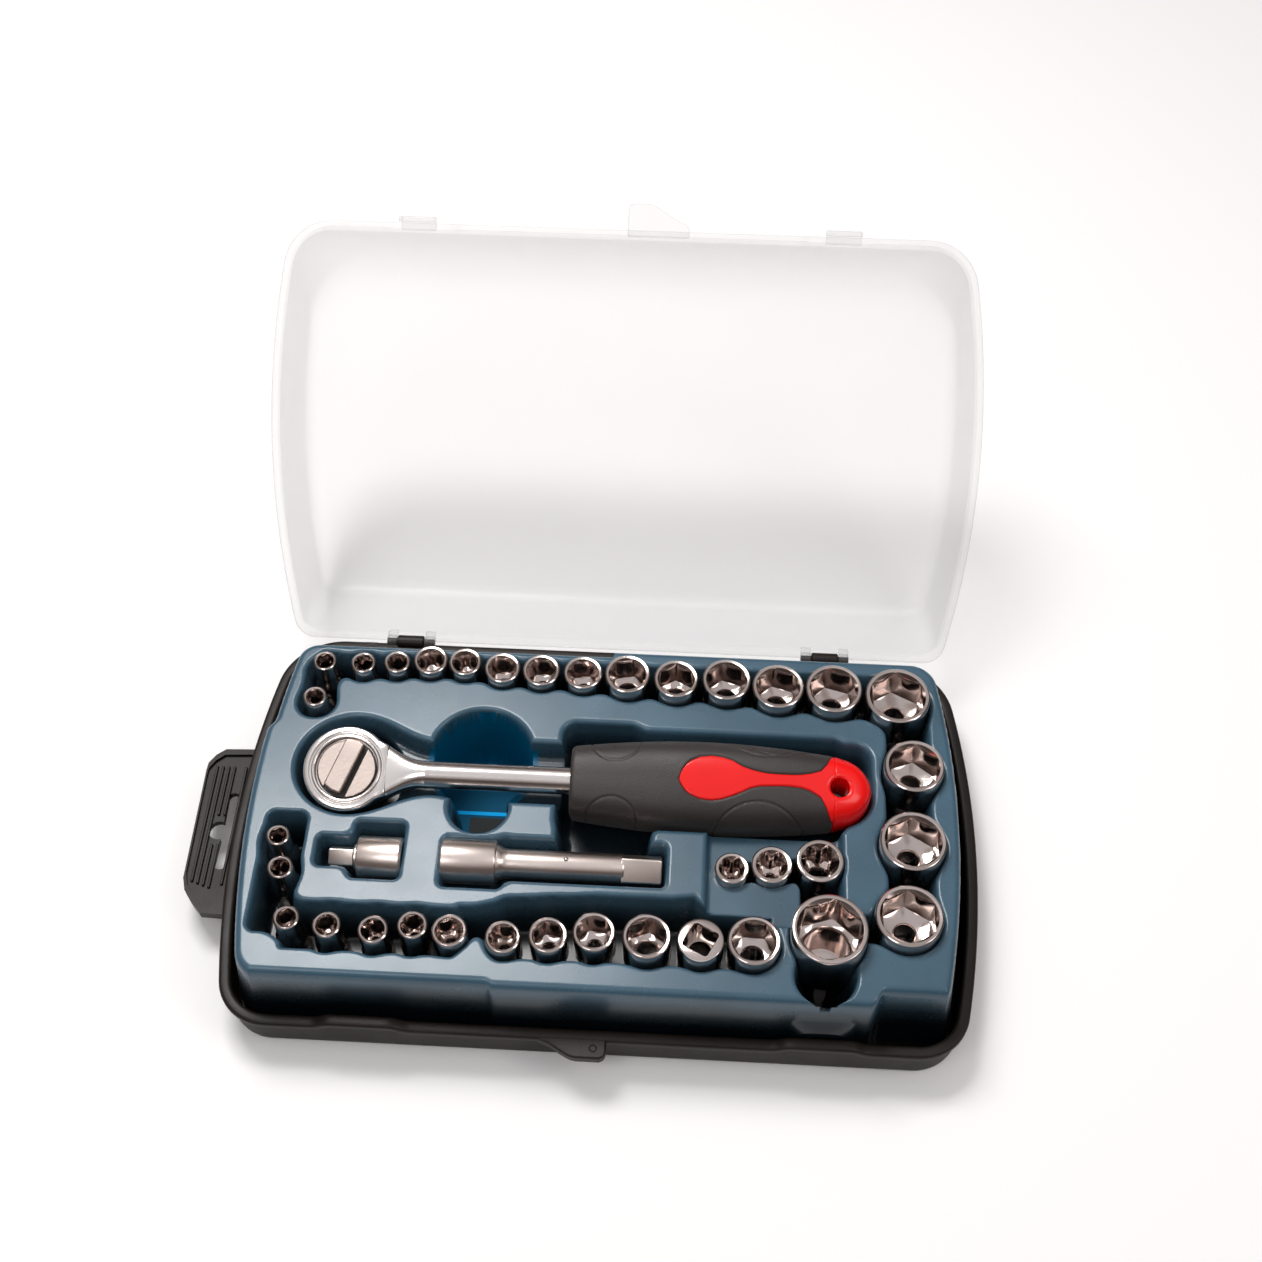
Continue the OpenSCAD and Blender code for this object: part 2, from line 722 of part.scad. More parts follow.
// A round body with chamfered ends: base diameter, nose diameter, length, base length.
module socket_body(d_base, d_nose, len, base_len) {
    c = socket_chamfer;
    step = min(3, len - base_len - c - 1);
    cylinder(d1 = d_base - 2 * c, d2 = d_base, h = c, $fn = coarse);
    translate([0, 0, c]) cylinder(d = d_base, h = base_len - c, $fn = coarse);
    translate([0, 0, base_len]) cylinder(d1 = d_base, d2 = d_nose, h = step, $fn = coarse);
    translate([0, 0, base_len + step])
        cylinder(d = d_nose, h = len - base_len - step - c, $fn = coarse);
    translate([0, 0, len - c]) cylinder(d1 = d_nose, d2 = d_nose - 2 * c, h = c, $fn = coarse);
}

function recess_depth(af) = 0.35 * af + 8;

module socket(af, star = false) {
    len = length_of(af);
    deep = recess_depth(af);
    drive = drive_of(af);
    nose = nose_d(af);
    base = base_d(af);
    difference() {
        socket_body(base, nose, len, nose < base ? len * 0.5 : len * 0.3);
        translate([0, 0, len - deep]) {
            if (star) star_prism(af, deep + eps);
            else hex_prism(af, deep + eps);
        }
        translate([0, 0, drive]) cylinder(d = min(af, drive) * 0.8, h = len, $fn = coarse);
        square_hole(drive, drive * 1.1);
    }
}

module spark_plug_socket() {
    base = large_base_d + 4;
    difference() {
        socket_body(base, nose_d(plug_af), plug_len, plug_len * 0.45);
        translate([0, 0, plug_len - 16]) hex_prism(plug_af, 16 + eps);
        translate([0, 0, large_drive * 1.4]) cylinder(d = base - 4.5, h = plug_len, $fn = coarse);
        square_hole(large_drive, large_drive * 1.5);
    }
}

module chrome() color([0.75, 0.72, 0.7]) children();

module placed_socket(at, af, floor_z) {
    chrome() translate([at[0], at[1], floor_z + rest_gap]) socket(af);
}

module back_socket(i) placed_socket(back_at(i), back_row[i][0], trench_floor);

module front_socket(i) {
    if (i == upside_down) {
        at = front_at(i);
        af = front_row[i][0];
        chrome() translate([at[0], at[1], trench_floor + rest_gap + length_of(af)])
            mirror([0, 0, 1]) socket(af);
    } else {
        placed_socket(front_at(i), front_row[i][0], trench_floor);
    }
}

module left_socket(i) placed_socket(left_sockets[i][1], left_sockets[i][0], trench_floor);

module right_socket(i) placed_socket(right_sockets[i][1], right_sockets[i][0], trench_floor);

module star_socket(i) {
    chrome() translate([star_at(i)[0], star_at(i)[1], star_floor + rest_gap])
        socket(star_row[i][0], true);
}

module socket_spark_plug() {
    chrome() translate([plug_at[0], plug_at[1], plug_floor + rest_gap]) spark_plug_socket();
}

// ---- ratchet wrench, drawn with its head's centre at x = y = 0 ----

module rolled() {
    translate([0, wrench_y, wrench_z]) rotate([wrench_roll, 0, 0])
        translate([0, -wrench_y, -wrench_z]) children();
}

module at_head() {
    rolled() translate([-head_x, wrench_y, 0]) children();
}

module along_shaft() {
    rolled() translate([-head_x, wrench_y, wrench_z]) rotate([0, 90, 0]) children();
}

cover_t = 1.6; // thickness of the reversing dial's plate
gear_t = 8;
gear_r = 8.6; // to the tips of its teeth
tooth_h = 0.8;
neck_r = 6.6; // radius of the drive gear's round neck
chamber_r = 13;
ledge = 2.4; // thickness of the head's floor
tang_end = 60; // right end of the steel tang inside the grip
chamber_low = head_bottom + ledge;
dial_low = head_top - cover_t;

module ratchet_body() chrome() {
    neck_from = 9;
    neck_to = 27.5;
    neck_half = 13;
    neck_t = 10;
    shaft_from = 12;
    difference() {
        union() {
            at_head() {
                translate([0, 0, head_bottom]) {
                    cylinder(r1 = head_r - 1.5, r2 = head_r, h = 2, $fn = fine);
                    translate([0, 0, 2]) cylinder(r = head_r, h = head_t - 3.5, $fn = fine);
                    translate([0, 0, head_t - 1.5])
                        cylinder(r1 = head_r, r2 = head_r - 1.5, h = 1.5, $fn = fine);
                }
                translate([0, 0, wrench_z - neck_t / 2]) linear_extrude(height = neck_t)
                    polygon([[neck_from, neck_half], [neck_to, shaft_d / 2 + 0.4],
                        [neck_to, -shaft_d / 2 - 0.4], [neck_from, -neck_half]]);
            }
            along_shaft() translate([0, 0, shaft_from])
                cylinder(d = shaft_d, h = head_x + tang_end - shaft_from, $fn = coarse);
        }
        at_head() {
            translate([0, 0, chamber_low])
                cylinder(r = chamber_r, h = head_t, $fn = fine);
            translate([0, 0, head_bottom - 1])
                cylinder(r = neck_r + run_fit, h = head_t, $fn = fine);
        }
    }
    at_head() pawl_pin(0, 0);
}

module drive_gear() chrome() at_head() {
    tip = gear_r;
    root = gear_r - tooth_h;
    step = 360 / gear_teeth;
    difference() {
        union() {
            translate([0, 0, chamber_low + steel_gap]) linear_extrude(height = gear_t)
                polygon([for (i = [0:gear_teeth - 1], k = [0, 1])
                    (k == 0 ? root : tip) * [cos((i + k / 2) * step), sin((i + k / 2) * step)]]);
            translate([0, 0, head_bottom - 0.5])
                cylinder(r = neck_r, h = ledge + 1, $fn = fine);
            translate([-large_drive / 2, -large_drive / 2, head_bottom - square_out])
                cube([large_drive, large_drive, square_out]);
        }
        drive_ball_hole();
    }
}

ball_up = 4; // height of the drive ball above the end of the square

module drive_ball_hole() {
    translate([0, -large_drive / 2 - 1, head_bottom - square_out + ball_up])
        rotate([-90, 0, 0]) cylinder(d = ball_d + 0.2, h = 7, $fn = coarse);
}

module drive_ball() color("gainsboro") at_head()
    translate([0, -large_drive / 2 + 0.6, head_bottom - square_out + ball_up])
        sphere(d = ball_d, $fn = coarse);

// A coil spring along +Z from z = 0: radius of the coil, height and number of turns.
module coil(r, h, turns) {
    around = 6;
    per_turn = 14;
    n = turns * per_turn;
    wire = spring_wire / 2;
    points = [for (i = [0:n], k = [0:around - 1])
        let (a = i * 360 / per_turn, b = k * 360 / around, rr = r + wire * cos(b))
        [rr * cos(a), rr * sin(a), wire + (h - 2 * wire) * i / n + wire * sin(b)]];
    walls = [for (i = [0:n - 1], k = [0:around - 1])
        let (m = (k + 1) % around, low = i * around, up = low + around)
        [low + k, low + m, up + m, up + k]];
    ends = [[for (k = [around - 1:-1:0]) k], [for (k = [0:around - 1]) n * around + k]];
    polyhedron(points = points, faces = concat([for (f = walls) [f[3], f[2], f[1], f[0]]],
        [for (f = ends) [for (k = [len(f) - 1:-1:0]) f[k]]]), convexity = 6);
}

module drive_ball_spring() color("silver") at_head()
    translate([0, -large_drive / 2 + 0.6 + ball_d / 2 + 0.05, head_bottom - square_out + ball_up])
        rotate([-90, 0, 0]) coil(ball_d / 2 - 0.5, 3.7, 4);

pawl_pin_d = 1.5; // pin that the pawl turns on
pawl_r = (gear_r + chamber_r) / 2; // distance of the pawl's pin from the head's middle
pawl_t = 5;
pawl_half = 5; // half the pawl's length
pawl_swing = 5; // turn of the pawl to each side of its middle place
pawl_room = 0.8; // room behind the pawl, for it to swing in

// The pin ends below the pawl's top, clear of the selector ball.
module pawl_pin(extra, more_h) {
    translate([pawl_r, 0, chamber_low - 1])
        cylinder(d = pawl_pin_d + 2 * extra, h = pawl_t + 1 + more_h, $fn = coarse);
}

module pawl() color([0.5, 0.5, 0.52]) at_head() difference() {
    translate([0, 0, chamber_low + steel_gap]) linear_extrude(height = pawl_t)
        translate([pawl_r, 0]) rotate(pawl_swing) translate([-pawl_r, 0]) difference() {
            intersection() {
                circle(r = chamber_r - pawl_room, $fn = fine);
                translate([gear_r - 0.4, -pawl_half]) square([chamber_r, 2 * pawl_half]);
            }
            circle(r = gear_r + 2 * steel_gap, $fn = fine);
        }
    pawl_pin(run_fit, 1);
}

dial_sink = 0.8; // the dial's face lies this far below the head's top
bar_rise = 2.6; // height of the dial's thumb bar
bar_w = 6.4; // width of the dial's thumb bar
bar_shift = 1; // the bar stands this far to the left of the dial's middle
dial_bottom = dial_low - dial_sink;

module reverse_dial() color([0.72, 0.69, 0.66]) at_head() translate([0, 0, dial_bottom]) {
    cylinder(r = dial_r, h = cover_t, $fn = fine);
    intersection() {
        rotate([0, 0, -dial_tilt])
            block([-bar_w / 2 - bar_shift, -dial_r, cover_t - eps],
                [bar_w / 2 - bar_shift, dial_r, cover_t + bar_rise]);
        cylinder(r = dial_r - 0.6, h = tall, $fn = fine);
    }
}

selector_d = 2.2; // ball that pushes the pawl over
selector_r = pawl_r - 0.6; // its distance from the head's middle
selector_low = chamber_low + steel_gap + pawl_t + rest_gap;

module at_selector() {
    at_head() rotate([0, 0, -dial_tilt]) translate([selector_r, 0, selector_low]) children();
}

module selector_ball() color("gainsboro") at_selector()
    translate([0, 0, selector_d / 2]) sphere(d = selector_d, $fn = coarse);

module selector_spring() color("silver") at_selector()
    translate([0, 0, selector_d + 0.05]) coil(0.8, dial_bottom - selector_low - selector_d - 0.1, 5);

module retaining_ring() color([0.7, 0.68, 0.66]) at_head()
    translate([0, 0, dial_bottom]) difference() {
        cylinder(r = chamber_r, h = cover_t, $fn = fine);
        translate([0, 0, -1]) cylinder(r = dial_r + steel_gap / 2, h = tall, $fn = fine);
    }

// ---- grip: a red core with a rubber skin ----

// Length runs along x from the left end; y and z are measured from the wrench's axis.
module at_grip() {
    rolled() translate([-grip_start, wrench_y, wrench_z - grip_drop]) children();
}

neck_w = 27; // width of the grip at its left end

// A circle arc through a chord from x = a to b, standing out by rise from width w.
function arc_points(a, b, w, rise, steps) = [for (i = [0:steps]) let (u = i / steps)
    [a + (b - a) * u, w + rise * sin(180 * u)]];

module grip_plan() {
    end_r = neck_w / 2;
    belly = arc_points(0, grip_len - end_r, end_r, (grip_w - neck_w) / 2 + 1, 16);
    polygon(concat(belly, [for (i = [len(belly) - 1:-1:0]) [belly[i][0], -belly[i][1]]]));
    translate([grip_len - end_r, 0]) circle(r = end_r, $fn = fine);
}

module grip_section() {
    half_w = grip_w / 2 - grip_round;
    half_h = grip_h / 2 - grip_round;
    square([2 * half_h, grip_w], center = true);
    square([grip_h, 2 * half_w], center = true);
    for (x = [-half_h, half_h], y = [-half_w, half_w])
        translate([x, y]) circle(r = grip_round, $fn = coarse);
}

module grip_solid() {
    intersection() {
        translate([0, 0, -grip_h]) linear_extrude(height = 2 * grip_h) grip_plan();
        rotate([0, 90, 0]) linear_extrude(height = grip_len) grip_section();
    }
}

cap_len = 17; // length of the red end cap
blob_x = 53; // middle of the inlay's round end
blob_r = 9.5;
waist_half = 2.6; // half width of the inlay's waist
inlay_t = 3;

// Plan of the inlay: a round blob, a waist and a flare that runs into the end cap.
module inlay_plan() {
    from = blob_x + blob_r * 0.6;
    to = grip_len - cap_len + 1;
    flare = 11;
    steps = 12;
    upper = [for (i = [0:steps]) let (u = i / steps)
        [from + (to - from) * u, waist_half
            + (blob_r * 0.8 - waist_half) * pow(1 - u, 3) + flare * pow(u, 5)]];
    translate([blob_x, 0]) circle(r = blob_r, $fn = fine);
    polygon(concat(upper, [for (i = [steps:-1:0]) [upper[i][0], -upper[i][1]]]));
}

module red_region() {
    block([grip_len - cap_len, -grip_w, -grip_h], [2 * grip_len, grip_w, grip_h]);
    translate([0, 0, grip_h / 2 - inlay_t]) linear_extrude(height = 2 * inlay_t) inlay_plan();
}

module tang_hole() {
    translate([-1, 0, grip_drop]) rotate([0, 90, 0])
        cylinder(d = shaft_d, h = grip_start + tang_end + 1, $fn = coarse);
}

module hang_hole() {
    translate([grip_len - 12, 0, -grip_h]) cylinder(d = hang_hole_d, h = 2 * grip_h, $fn = coarse);
}

module grip_core() color([0.85, 0.05, 0.05]) at_grip() difference() {
    intersection() {
        grip_solid();
        red_region();
    }
    hang_hole();
}

module grip_rubber() color([0.2, 0.19, 0.18]) at_grip() difference() {
    grip_solid();
    red_region();
    tang_hole();
}

// ---- extension bar and adapter, drawn along +X from their socket end ----

// A round socket end with a square hole, from x = 0.
module female_end(d, len, drive, depth) {
    side = drive + 2 * drive_fit;
    difference() {
        rotate([0, 90, 0]) {
            cylinder(d1 = d - 1.2, d2 = d, h = 0.6, $fn = coarse);
            translate([0, 0, 0.6]) cylinder(d = d, h = len - 1.2, $fn = coarse);
            translate([0, 0, len - 0.6]) cylinder(d1 = d, d2 = d - 1.2, h = 0.6, $fn = coarse);
        }
        translate([-eps, -side / 2, -side / 2]) cube([depth, side, side]);
    }
}

// A ball in the front face of a drive square whose middle is at x.
module front_ball(x, drive) {
    translate([x, -drive / 2 + 0.6, 0]) sphere(d = ball_d, $fn = coarse);
}

module front_ball_hole(x, drive) {
    translate([x, -drive / 2 - 1, 0]) rotate([-90, 0, 0])
        cylinder(d = ball_d + 0.2, h = drive * 0.75, $fn = coarse);
}

module front_ball_spring(x, drive) {
    rise = drive * 0.75 - 1 - 0.6 - ball_d / 2 - 0.15;
    translate([x, -drive / 2 + 0.6 + ball_d / 2 + 0.05, 0]) rotate([-90, 0, 0])
        coil(ball_d / 2 - 0.5, rise, 3);
}

module at_extension() {
    translate([-ext_left, -bar_y, bar_z]) children();
}

ext_ball_x = ext_len - large_square_len / 2 + 1;

module extension_bar() chrome() at_extension() {
    taper = 3.5;
    difference() {
        union() {
            female_end(bar_socket_d, ext_socket_len, large_drive, 12);
            rotate([0, 90, 0]) {
                translate([0, 0, ext_socket_len - eps])
                    cylinder(d1 = bar_socket_d - 2.5, d2 = ext_shaft_d, h = taper, $fn = coarse);
                translate([0, 0, ext_socket_len])
                    cylinder(d = ext_shaft_d, h = ext_len - ext_socket_len - large_square_len,
                        $fn = coarse);
            }
            translate([ext_len - large_square_len - 1, -large_drive / 2, -large_drive / 2])
                cube([large_square_len + 1, large_drive, large_drive]);
        }
        front_ball_hole(ext_ball_x, large_drive);
    }
}

module extension_ball() color("gainsboro") at_extension() front_ball(ext_ball_x, large_drive);

module extension_ball_spring() color("silver") at_extension()
    front_ball_spring(ext_ball_x, large_drive);

adapter_z = bar_floor + rest_gap + adapter_d / 2;

module at_adapter() {
    translate([-adapter_right, -bar_y, adapter_z]) mirror([1, 0, 0]) children();
}

small_ball_d = 2.2;
adapter_ball_x = adapter_len + small_square_len / 2 + 0.5;

module drive_adapter() chrome() at_adapter() difference() {
    union() {
        female_end(adapter_d, adapter_len, large_drive, 11);
        translate([adapter_len - eps, -small_drive / 2, -small_drive / 2])
            cube([small_square_len, small_drive, small_drive]);
    }
    translate([adapter_ball_x, -small_drive / 2 - 1, 0]) rotate([-90, 0, 0])
        cylinder(d = small_ball_d + 0.2, h = small_drive * 0.85, $fn = coarse);
}

module adapter_ball() color("gainsboro") at_adapter()
    translate([adapter_ball_x, -small_drive / 2 + 0.4, 0]) sphere(d = small_ball_d, $fn = coarse);

module adapter_ball_spring() color("silver") at_adapter()
    translate([adapter_ball_x, -small_drive / 2 + 0.4 + small_ball_d / 2 + 0.05, 0])
        rotate([-90, 0, 0]) coil(0.7, 2.6, 3);

// ---- one line for each node ----

base_shell();
tray_rim();
tray_channel();
tray_island(-1);  // tray_island_left
tray_island(1);  // tray_island_right
floor_label();
lid_shell();
hinge_pins();
ratchet_body();
drive_gear();
reverse_dial();
retaining_ring();
pawl();
selector_ball();
selector_spring();
drive_ball();
drive_ball_spring();
grip_rubber();
grip_core();
extension_bar();
extension_ball();
extension_ball_spring();
drive_adapter();
adapter_ball();
adapter_ball_spring();
for (i = [0:len(back_row) - 1])
    back_socket(i);
for (i = [0:len(front_row) - 1])
    front_socket(i);
for (i = [0:len(left_sockets) - 1])
    left_socket(i);
for (i = [0:len(right_sockets) - 1])
    right_socket(i);
for (i = [0:len(star_row) - 1])
    star_socket(i);
socket_spark_plug();
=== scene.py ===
"""Looks of a socket wrench set in its open case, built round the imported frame.

Shapes are worked out in millimetres and become metres when a mesh is made.
+X is right, +Y is towards the hinge, +Z is up; the base's underside is at z = 0.
"""

import json
import math

import bmesh
import bpy
import numpy as np
from mathutils import Matrix, Vector


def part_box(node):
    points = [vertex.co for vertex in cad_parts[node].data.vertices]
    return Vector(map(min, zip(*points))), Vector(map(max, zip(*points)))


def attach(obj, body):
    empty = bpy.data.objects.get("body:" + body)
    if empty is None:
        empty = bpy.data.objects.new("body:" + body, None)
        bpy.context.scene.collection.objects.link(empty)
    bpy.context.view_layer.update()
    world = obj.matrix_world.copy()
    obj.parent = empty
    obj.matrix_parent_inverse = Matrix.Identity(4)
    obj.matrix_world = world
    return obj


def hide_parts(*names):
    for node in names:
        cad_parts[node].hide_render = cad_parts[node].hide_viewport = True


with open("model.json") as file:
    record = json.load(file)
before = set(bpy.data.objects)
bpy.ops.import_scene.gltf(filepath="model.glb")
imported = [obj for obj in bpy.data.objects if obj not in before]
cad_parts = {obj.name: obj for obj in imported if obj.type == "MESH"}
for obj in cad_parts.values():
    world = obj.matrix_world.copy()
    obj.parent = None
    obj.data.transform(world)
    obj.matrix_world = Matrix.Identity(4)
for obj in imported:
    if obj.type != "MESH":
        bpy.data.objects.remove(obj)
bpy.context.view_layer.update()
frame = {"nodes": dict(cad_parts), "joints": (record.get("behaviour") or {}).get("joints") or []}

MM = 0.001
RNG = np.random.default_rng(7)

# ---- driving sizes, in millimetres ----

CASE_W, CASE_D, SIDE_BOW, CORNER_R = 290.0, 172.0, 10.0, 20.0
BASE_H, RIM_H, RIM_W, RIM_OVER, FLOOR_T = 20.0, 3.0, 4.6, 2.2, 2.0
BOW_R = ((CASE_D / 2) ** 2 + SIDE_BOW**2) / (2 * SIDE_BOW)
TRAY_TOP, TRENCH_FLOOR, PLATFORM_TOP, STAR_FLOOR = 42.5, 20.5, 37.5, 16.0
LID_DEPTH, LID_WALL, LID_RIM_H, LID_FRONT_RUN, LID_BACK_RUN = 45.7, 1.6, 2.5, 33.0, 10.0

JOINTS = {j["name"]: j for j in frame["joints"]}
HINGE_Y, HINGE_Z = (v / MM for v in JOINTS["lid_hinge"]["pos_m"][1:])
LID_OPEN = -min(JOINTS["lid_hinge"]["range_deg"])


def node_box(node):
    """Lowest and highest corner of a CAD node, in millimetres."""
    low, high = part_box(node)
    return np.array(low) / MM, np.array(high) / MM


def node_mid(node):
    low, high = node_box(node)
    return (low + high) / 2


# ---- meshes ----


def finished_mesh(name, bm, material, sharp):
    """A mesh shaded smooth, with its edges sharper than sharp degrees kept crisp."""
    bmesh.ops.recalc_face_normals(bm, faces=bm.faces)
    bm.normal_update()
    limit = math.radians(sharp)
    for face in bm.faces:
        face.smooth = True
    for edge in bm.edges:
        edge.smooth = len(edge.link_faces) == 2 and edge.calc_face_angle(0.0) < limit
    mesh = bpy.data.meshes.new(name)
    bm.to_mesh(mesh)
    bm.free()
    mesh.materials.append(material)
    return mesh


def add_object(mesh, body, replaces=()):
    """Puts a mesh in the scene as an object that rides on body."""
    obj = bpy.data.objects.new(mesh.name, mesh)
    bpy.context.scene.collection.objects.link(obj)
    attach(obj, body)
    if replaces:
        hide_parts(*replaces)
    return obj


def piece(name, parts, material, body, replaces=(), sharp=35.0, merge=0.0):
    """One object from (vertices, faces) parts in millimetres."""
    bm = bmesh.new()
    for verts, faces in parts:
        made = [bm.verts.new(Vector(v) * MM) for v in verts]
        for face in faces:
            bm.faces.new([made[i] for i in face])
    if merge:
        bmesh.ops.remove_doubles(bm, verts=bm.verts, dist=merge * MM)
    return add_object(finished_mesh(name, bm, material, sharp), body, replaces)


def paint(mat, *names):
    """Gives carried-over CAD nodes a material."""
    for name in names:
        slots = frame["nodes"][name].data.materials
        slots.clear()
        slots.append(mat)


def bevel(obj, width, segments=2, angle=30.0):
    """Rounds a piece's edges; width is in millimetres."""
    mod = obj.modifiers.new("Bevel", "BEVEL")
    mod.width = width * MM
    mod.segments = segments
    mod.limit_method = "ANGLE"
    mod.angle_limit = math.radians(angle)
    mod.harden_normals = False


def loft(rings, capped=True, wrap=False):
    """Quads between closed rings of equal length, with caps on the ends or wrapped round to the start."""
    n, count = len(rings[0]), len(rings)
    verts = np.concatenate([np.asarray(r, float) for r in rings])
    faces = []
    for k in range(count if wrap else count - 1):
        a, b = k * n, ((k + 1) % count) * n
        for i in range(n):
            j = (i + 1) % n
            faces.append((a + i, a + j, b + j, b + i))
    if capped and not wrap:
        faces.append(tuple(range(n)))
        faces.append(tuple(reversed(range((count - 1) * n, count * n))))
    return verts, faces


def ring(radius, z, n, phase=0.0):
    """A circle at height z; radius may be a number or one radius for each of n angles."""
    a = np.arange(n) * 2 * math.pi / n + phase
    r = np.broadcast_to(radius, (n,))
    return np.column_stack((r * np.cos(a), r * np.sin(a), np.full(n, z)))


HUB = 0.001  # radius that closes a turned part at its axis


def lathe(profile, n=72):
    """A closed solid turned about Z from (radius, height) points."""
    return loft([ring(max(r, HUB), z, n) for r, z in profile])


def moved(part, matrix):
    verts, faces = part
    m = np.array(matrix, float)
    return np.asarray(verts, float) @ m[:3, :3].T + m[:3, 3], faces


def shifted(part, x=0.0, y=0.0, z=0.0):
    return moved(part, Matrix.Translation((x, y, z)))


def turned(part, degrees, axis):
    return moved(part, Matrix.Rotation(math.radians(degrees), 4, axis))


def along_x(part):
    """Turns a part drawn along +Z so that it runs along +X."""
    return turned(part, 90, "Y")


def box_part(low, high):
    """A box between two corners."""
    (x0, y0, z0), (x1, y1, z1) = low, high
    verts = [(x, y, z) for z in (z0, z1) for x, y in ((x0, y0), (x1, y0), (x1, y1), (x0, y1))]
    faces = [(3, 2, 1, 0), (4, 5, 6, 7), (0, 1, 5, 4), (1, 2, 6, 5), (2, 3, 7, 6), (3, 0, 4, 7)]
    return np.array(verts, float), faces


def prism(outline, low, high):
    """An outline (x, y) raised from low to high."""
    pts = np.asarray(outline, float)
    rings = [np.column_stack((pts, np.full(len(pts), z))) for z in (low, high)]
    return loft(rings)


def arc(cx, cy, r, a0, a1, n):
    a = np.radians(np.linspace(a0, a1, n))
    return np.column_stack((cx + r * np.cos(a), cy + r * np.sin(a)))


# ---- outline of the case ----

SIDE_STEPS, CORNER_STEPS, EDGE_STEPS = 28, 14, 120


def case_loop(inset, y_front=None, y_back=None, r_front=None, r_back=None):
    """Bowed outline, counter-clockwise; its front and back edges may be moved in."""
    y_front = -CASE_D / 2 + inset if y_front is None else y_front
    y_back = CASE_D / 2 - inset if y_back is None else y_back
    r_front = max(CORNER_R - inset, 1.0) if r_front is None else r_front
    r_back = max(CORNER_R - inset, 1.0) if r_back is None else r_back
    big = BOW_R - inset
    cx = CASE_W / 2 - BOW_R

    def corner(y_edge, r, side):
        cy = y_edge - side * r
        x = cx + math.sqrt((big - r) ** 2 - cy**2)
        return x, cy, math.degrees(math.atan2(cy, x - cx))

    xb, yb, ab = corner(y_back, r_back, 1)
    xf, yf, af = corner(y_front, r_front, -1)
    runs = [
        arc(cx, 0, big, af, ab, SIDE_STEPS + 1),
        arc(xb, yb, r_back, ab, 90, CORNER_STEPS + 1),
        np.linspace((xb, y_back), (-xb, y_back), EDGE_STEPS + 1),
        arc(-xb, yb, r_back, 90, 180 - ab, CORNER_STEPS + 1),
        arc(-cx, 0, big, 180 - ab, 180 - af, SIDE_STEPS + 1),
        arc(-xf, yf, r_front, 180 - af, 270, CORNER_STEPS + 1),
        np.linspace((-xf, y_front), (xf, y_front), EDGE_STEPS + 1),
        arc(xf, yf, r_front, -90, af, CORNER_STEPS + 1),
    ]
    return np.concatenate([r[:-1] for r in runs])


WAVE_FROM, WAVE_TO, WAVE_H, WAVE_RUN = 66.0, 101.5, 2.6, 7.0


def front_wave(x, y):
    """Rise of the case's and the lid's rims round the two clips, at the front edge only."""
    ax = np.abs(x)
    ramp = np.clip(np.minimum(ax - WAVE_FROM, WAVE_TO - ax) / WAVE_RUN, 0, 1)
    return WAVE_H * (0.5 - 0.5 * np.cos(np.pi * ramp)) * (y < -CASE_D / 2 + 6.0)


def case_ring(inset, z):
    """The base's outline at height z, with its rim raised round the clips."""
    pts = case_loop(inset, r_back=max(BASE_BACK_R - inset, 1.0))
    rise = front_wave(*pts.T) * (z > BASE_H - RIM_H - 1.0)
    return np.column_stack((pts, z + rise))


def outline_distance(x, y, side_in=0.0, y_front=-CASE_D / 2, y_back=CASE_D / 2,
                     r_front=CORNER_R, r_back=CORNER_R):
    """Distance, negative inside, to a bowed outline whose sides lie side_in inside the case's."""
    big = BOW_R - side_in
    cx = CASE_W / 2 - BOW_R
    ax = np.abs(x)
    bow = np.hypot(ax - cx, y) - big

    def half(y_edge, r, side):
        yc = abs(y_edge) - r
        xc = cx + math.sqrt((big - r) ** 2 - yc**2)
        up = side * y - yc
        at_corner = (ax > xc) & (up > 0) & (np.arctan2(up, ax - xc) > math.atan2(yc, xc - cx))
        return np.where(at_corner, np.hypot(ax - xc, up) - r, np.maximum(bow, up - r))

    return np.where(y > 0, half(y_back, r_back, 1), half(y_front, r_front, -1))


# ---- materials ----


def principled(name, values):
    """A Principled material with these socket values, and its nodes, links and shader."""
    mat = bpy.data.materials.new(name)
    mat.use_nodes = True
    nodes, links = mat.node_tree.nodes, mat.node_tree.links
    shader = nodes["Principled BSDF"]
    for socket, value in values.items():
        shader.inputs[socket].default_value = value
    return mat, nodes, links, shader


def set_stops(ramp, stops):
    """Puts (place, colour) stops on a colour ramp, which has two to start with."""
    elements = ramp.color_ramp.elements
    for i, (place, color) in enumerate(stops):
        stop = elements[i] if i < 2 else elements.new(place)
        stop.position = place
        stop.color = (*color, 1)


